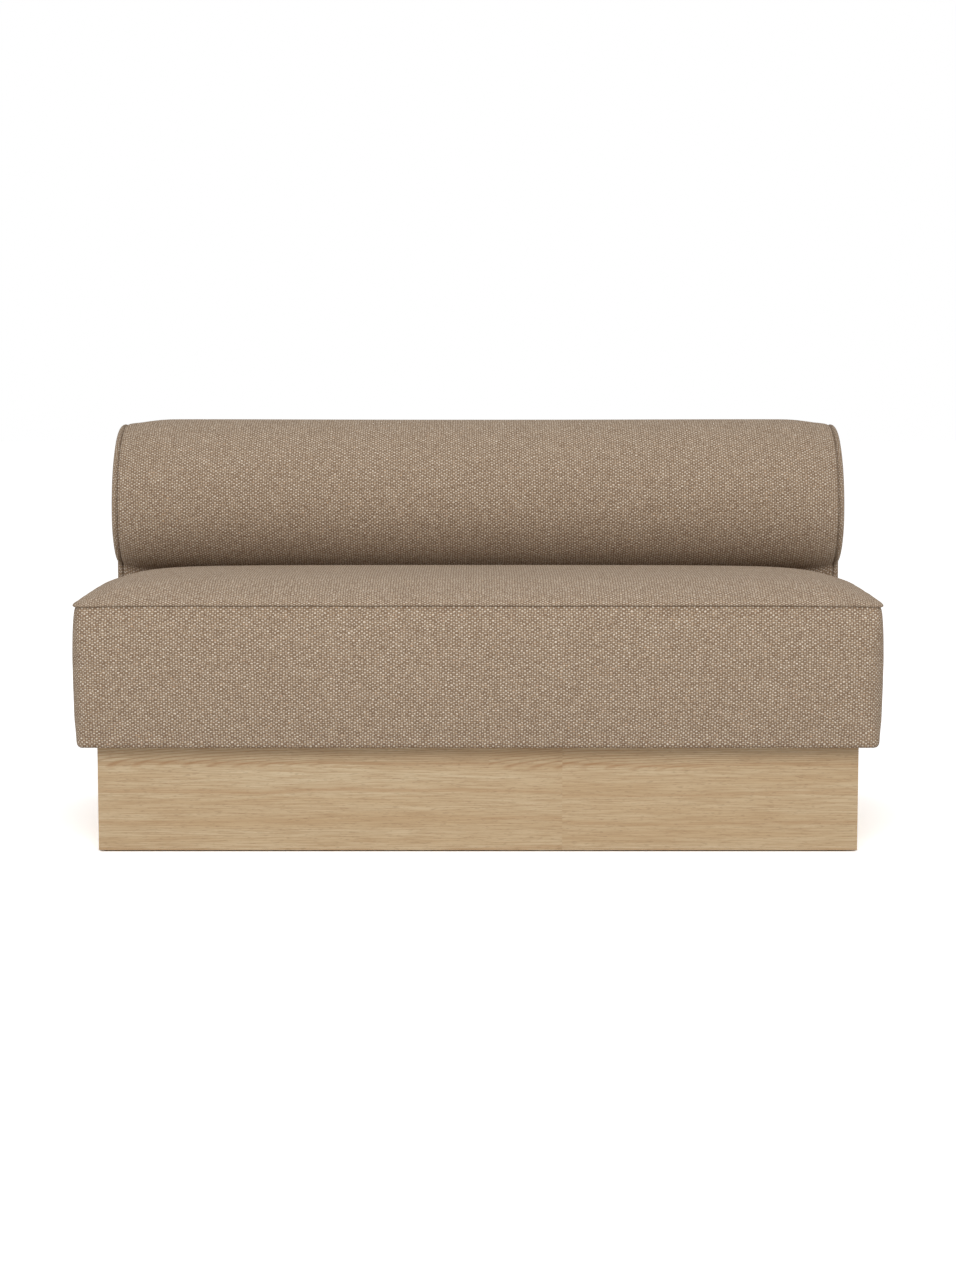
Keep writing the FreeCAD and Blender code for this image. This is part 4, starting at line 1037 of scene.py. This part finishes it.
def bonded_fibre(name, spot):
    """Black nonwoven cloth with rows of bonding spots at the spacing given."""
    # Pressed fibre: black, dry and quite matt, dimpled where it is bonded.
    material, tree, shader = new_material(name, Roughness=0.95, Specular_IOR_Level=0.1)
    place = add(tree, "TexCoord").outputs["Object"]
    fibre = add(tree, "TexNoise", inputs={
        "Vector": place, "Scale": 1 / FIBRE_CLUMP, "Detail": 5, "Roughness": 0.7}).outputs["Fac"]
    spots = add(tree, "VectorMath", {"operation": "SCALE"}, {
        0: place, "Scale": math.pi / spot}).outputs[0]
    spots = add(tree, "VectorMath", {"operation": "SINE"}, {0: spots}).outputs[0]
    parts = add(tree, "SeparateXYZ", inputs={0: spots})
    spots = add(tree, "Math", {"operation": "MULTIPLY"}, {
        0: parts.outputs["X"], 1: parts.outputs["Y"]}).outputs[0]
    height = add(tree, "Math", {"operation": "MULTIPLY_ADD"}, {0: spots, 1: 0.3, 2: fibre}).outputs[0]
    colour = add(tree, "Mix", COLOURS, {
        AMOUNT: height, FIRST: tone("#161617"), SECOND: tone("#343436")}).outputs[MIXED]
    tree.links.new(colour, shader.inputs["Base Color"])
    bump = add(tree, "Bump", inputs={"Height": height, "Strength": 0.5, "Distance": 0.0004})
    tree.links.new(bump.outputs["Normal"], shader.inputs["Normal"])
    return material


dress(bonded_fibre("felt_needled_black", 0.012), "spring_felt")
print("felt dressed")

# %% [markdown]
# Under the seat a thin black cloth is stapled over the opening to keep dust in. It is pulled flat and
# sinks only a little between its staples, so a simulation would show nothing more than a grid with a
# shallow sag does. Solidify gives the sheet its thickness.

# %% Dust cover
# The stapled margin, the distance over which the sag begins, and the sag's depth with its unevenness.
MARGIN = 0.024
SAG_REACH = 0.05
SAG, UNEVEN = 0.003, 0.0015
SHEET_THICKNESS = 0.0008

low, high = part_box("seat_dust_cover")
bm = bmesh.new()
bmesh.ops.create_grid(bm, x_segments=108, y_segments=36, size=0.5)
bmesh.ops.scale(bm, vec=(high.x - low.x, high.y - low.y, 1), verts=bm.verts)
bmesh.ops.translate(bm, vec=((low.x + high.x) / 2, (low.y + high.y) / 2, low.z), verts=bm.verts)
for vertex in bm.verts:
    x, y, z = vertex.co
    edge = min(x - low.x, high.x - x, y - low.y, high.y - y)
    loose = 1 - math.exp(-max(edge - MARGIN, 0) / SAG_REACH)
    vertex.co.z = z - loose * (SAG + UNEVEN * noise.noise(Vector((x * 5, y * 7, 0.4))))
bmesh.ops.reverse_faces(bm, faces=bm.faces)
for face in bm.faces:
    face.smooth = True
dust_mesh = bpy.data.meshes.new("dust_cover")
bm.to_mesh(dust_mesh)
bm.free()
dust_mesh.materials.append(bonded_fibre("spunbond_cloth_black", 0.006))
dust_cover = bpy.data.objects.new("dust_cover", dust_mesh)
scene.collection.objects.link(dust_cover)
wall = dust_cover.modifiers.new("wall", "SOLIDIFY")
wall.thickness = SHEET_THICKNESS
wall.offset = -1
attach(dust_cover, "sofa")
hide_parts("seat_dust_cover")
print("dust cover", round(high.x - low.x, 3), "by", round(high.y - low.y, 3), "m")
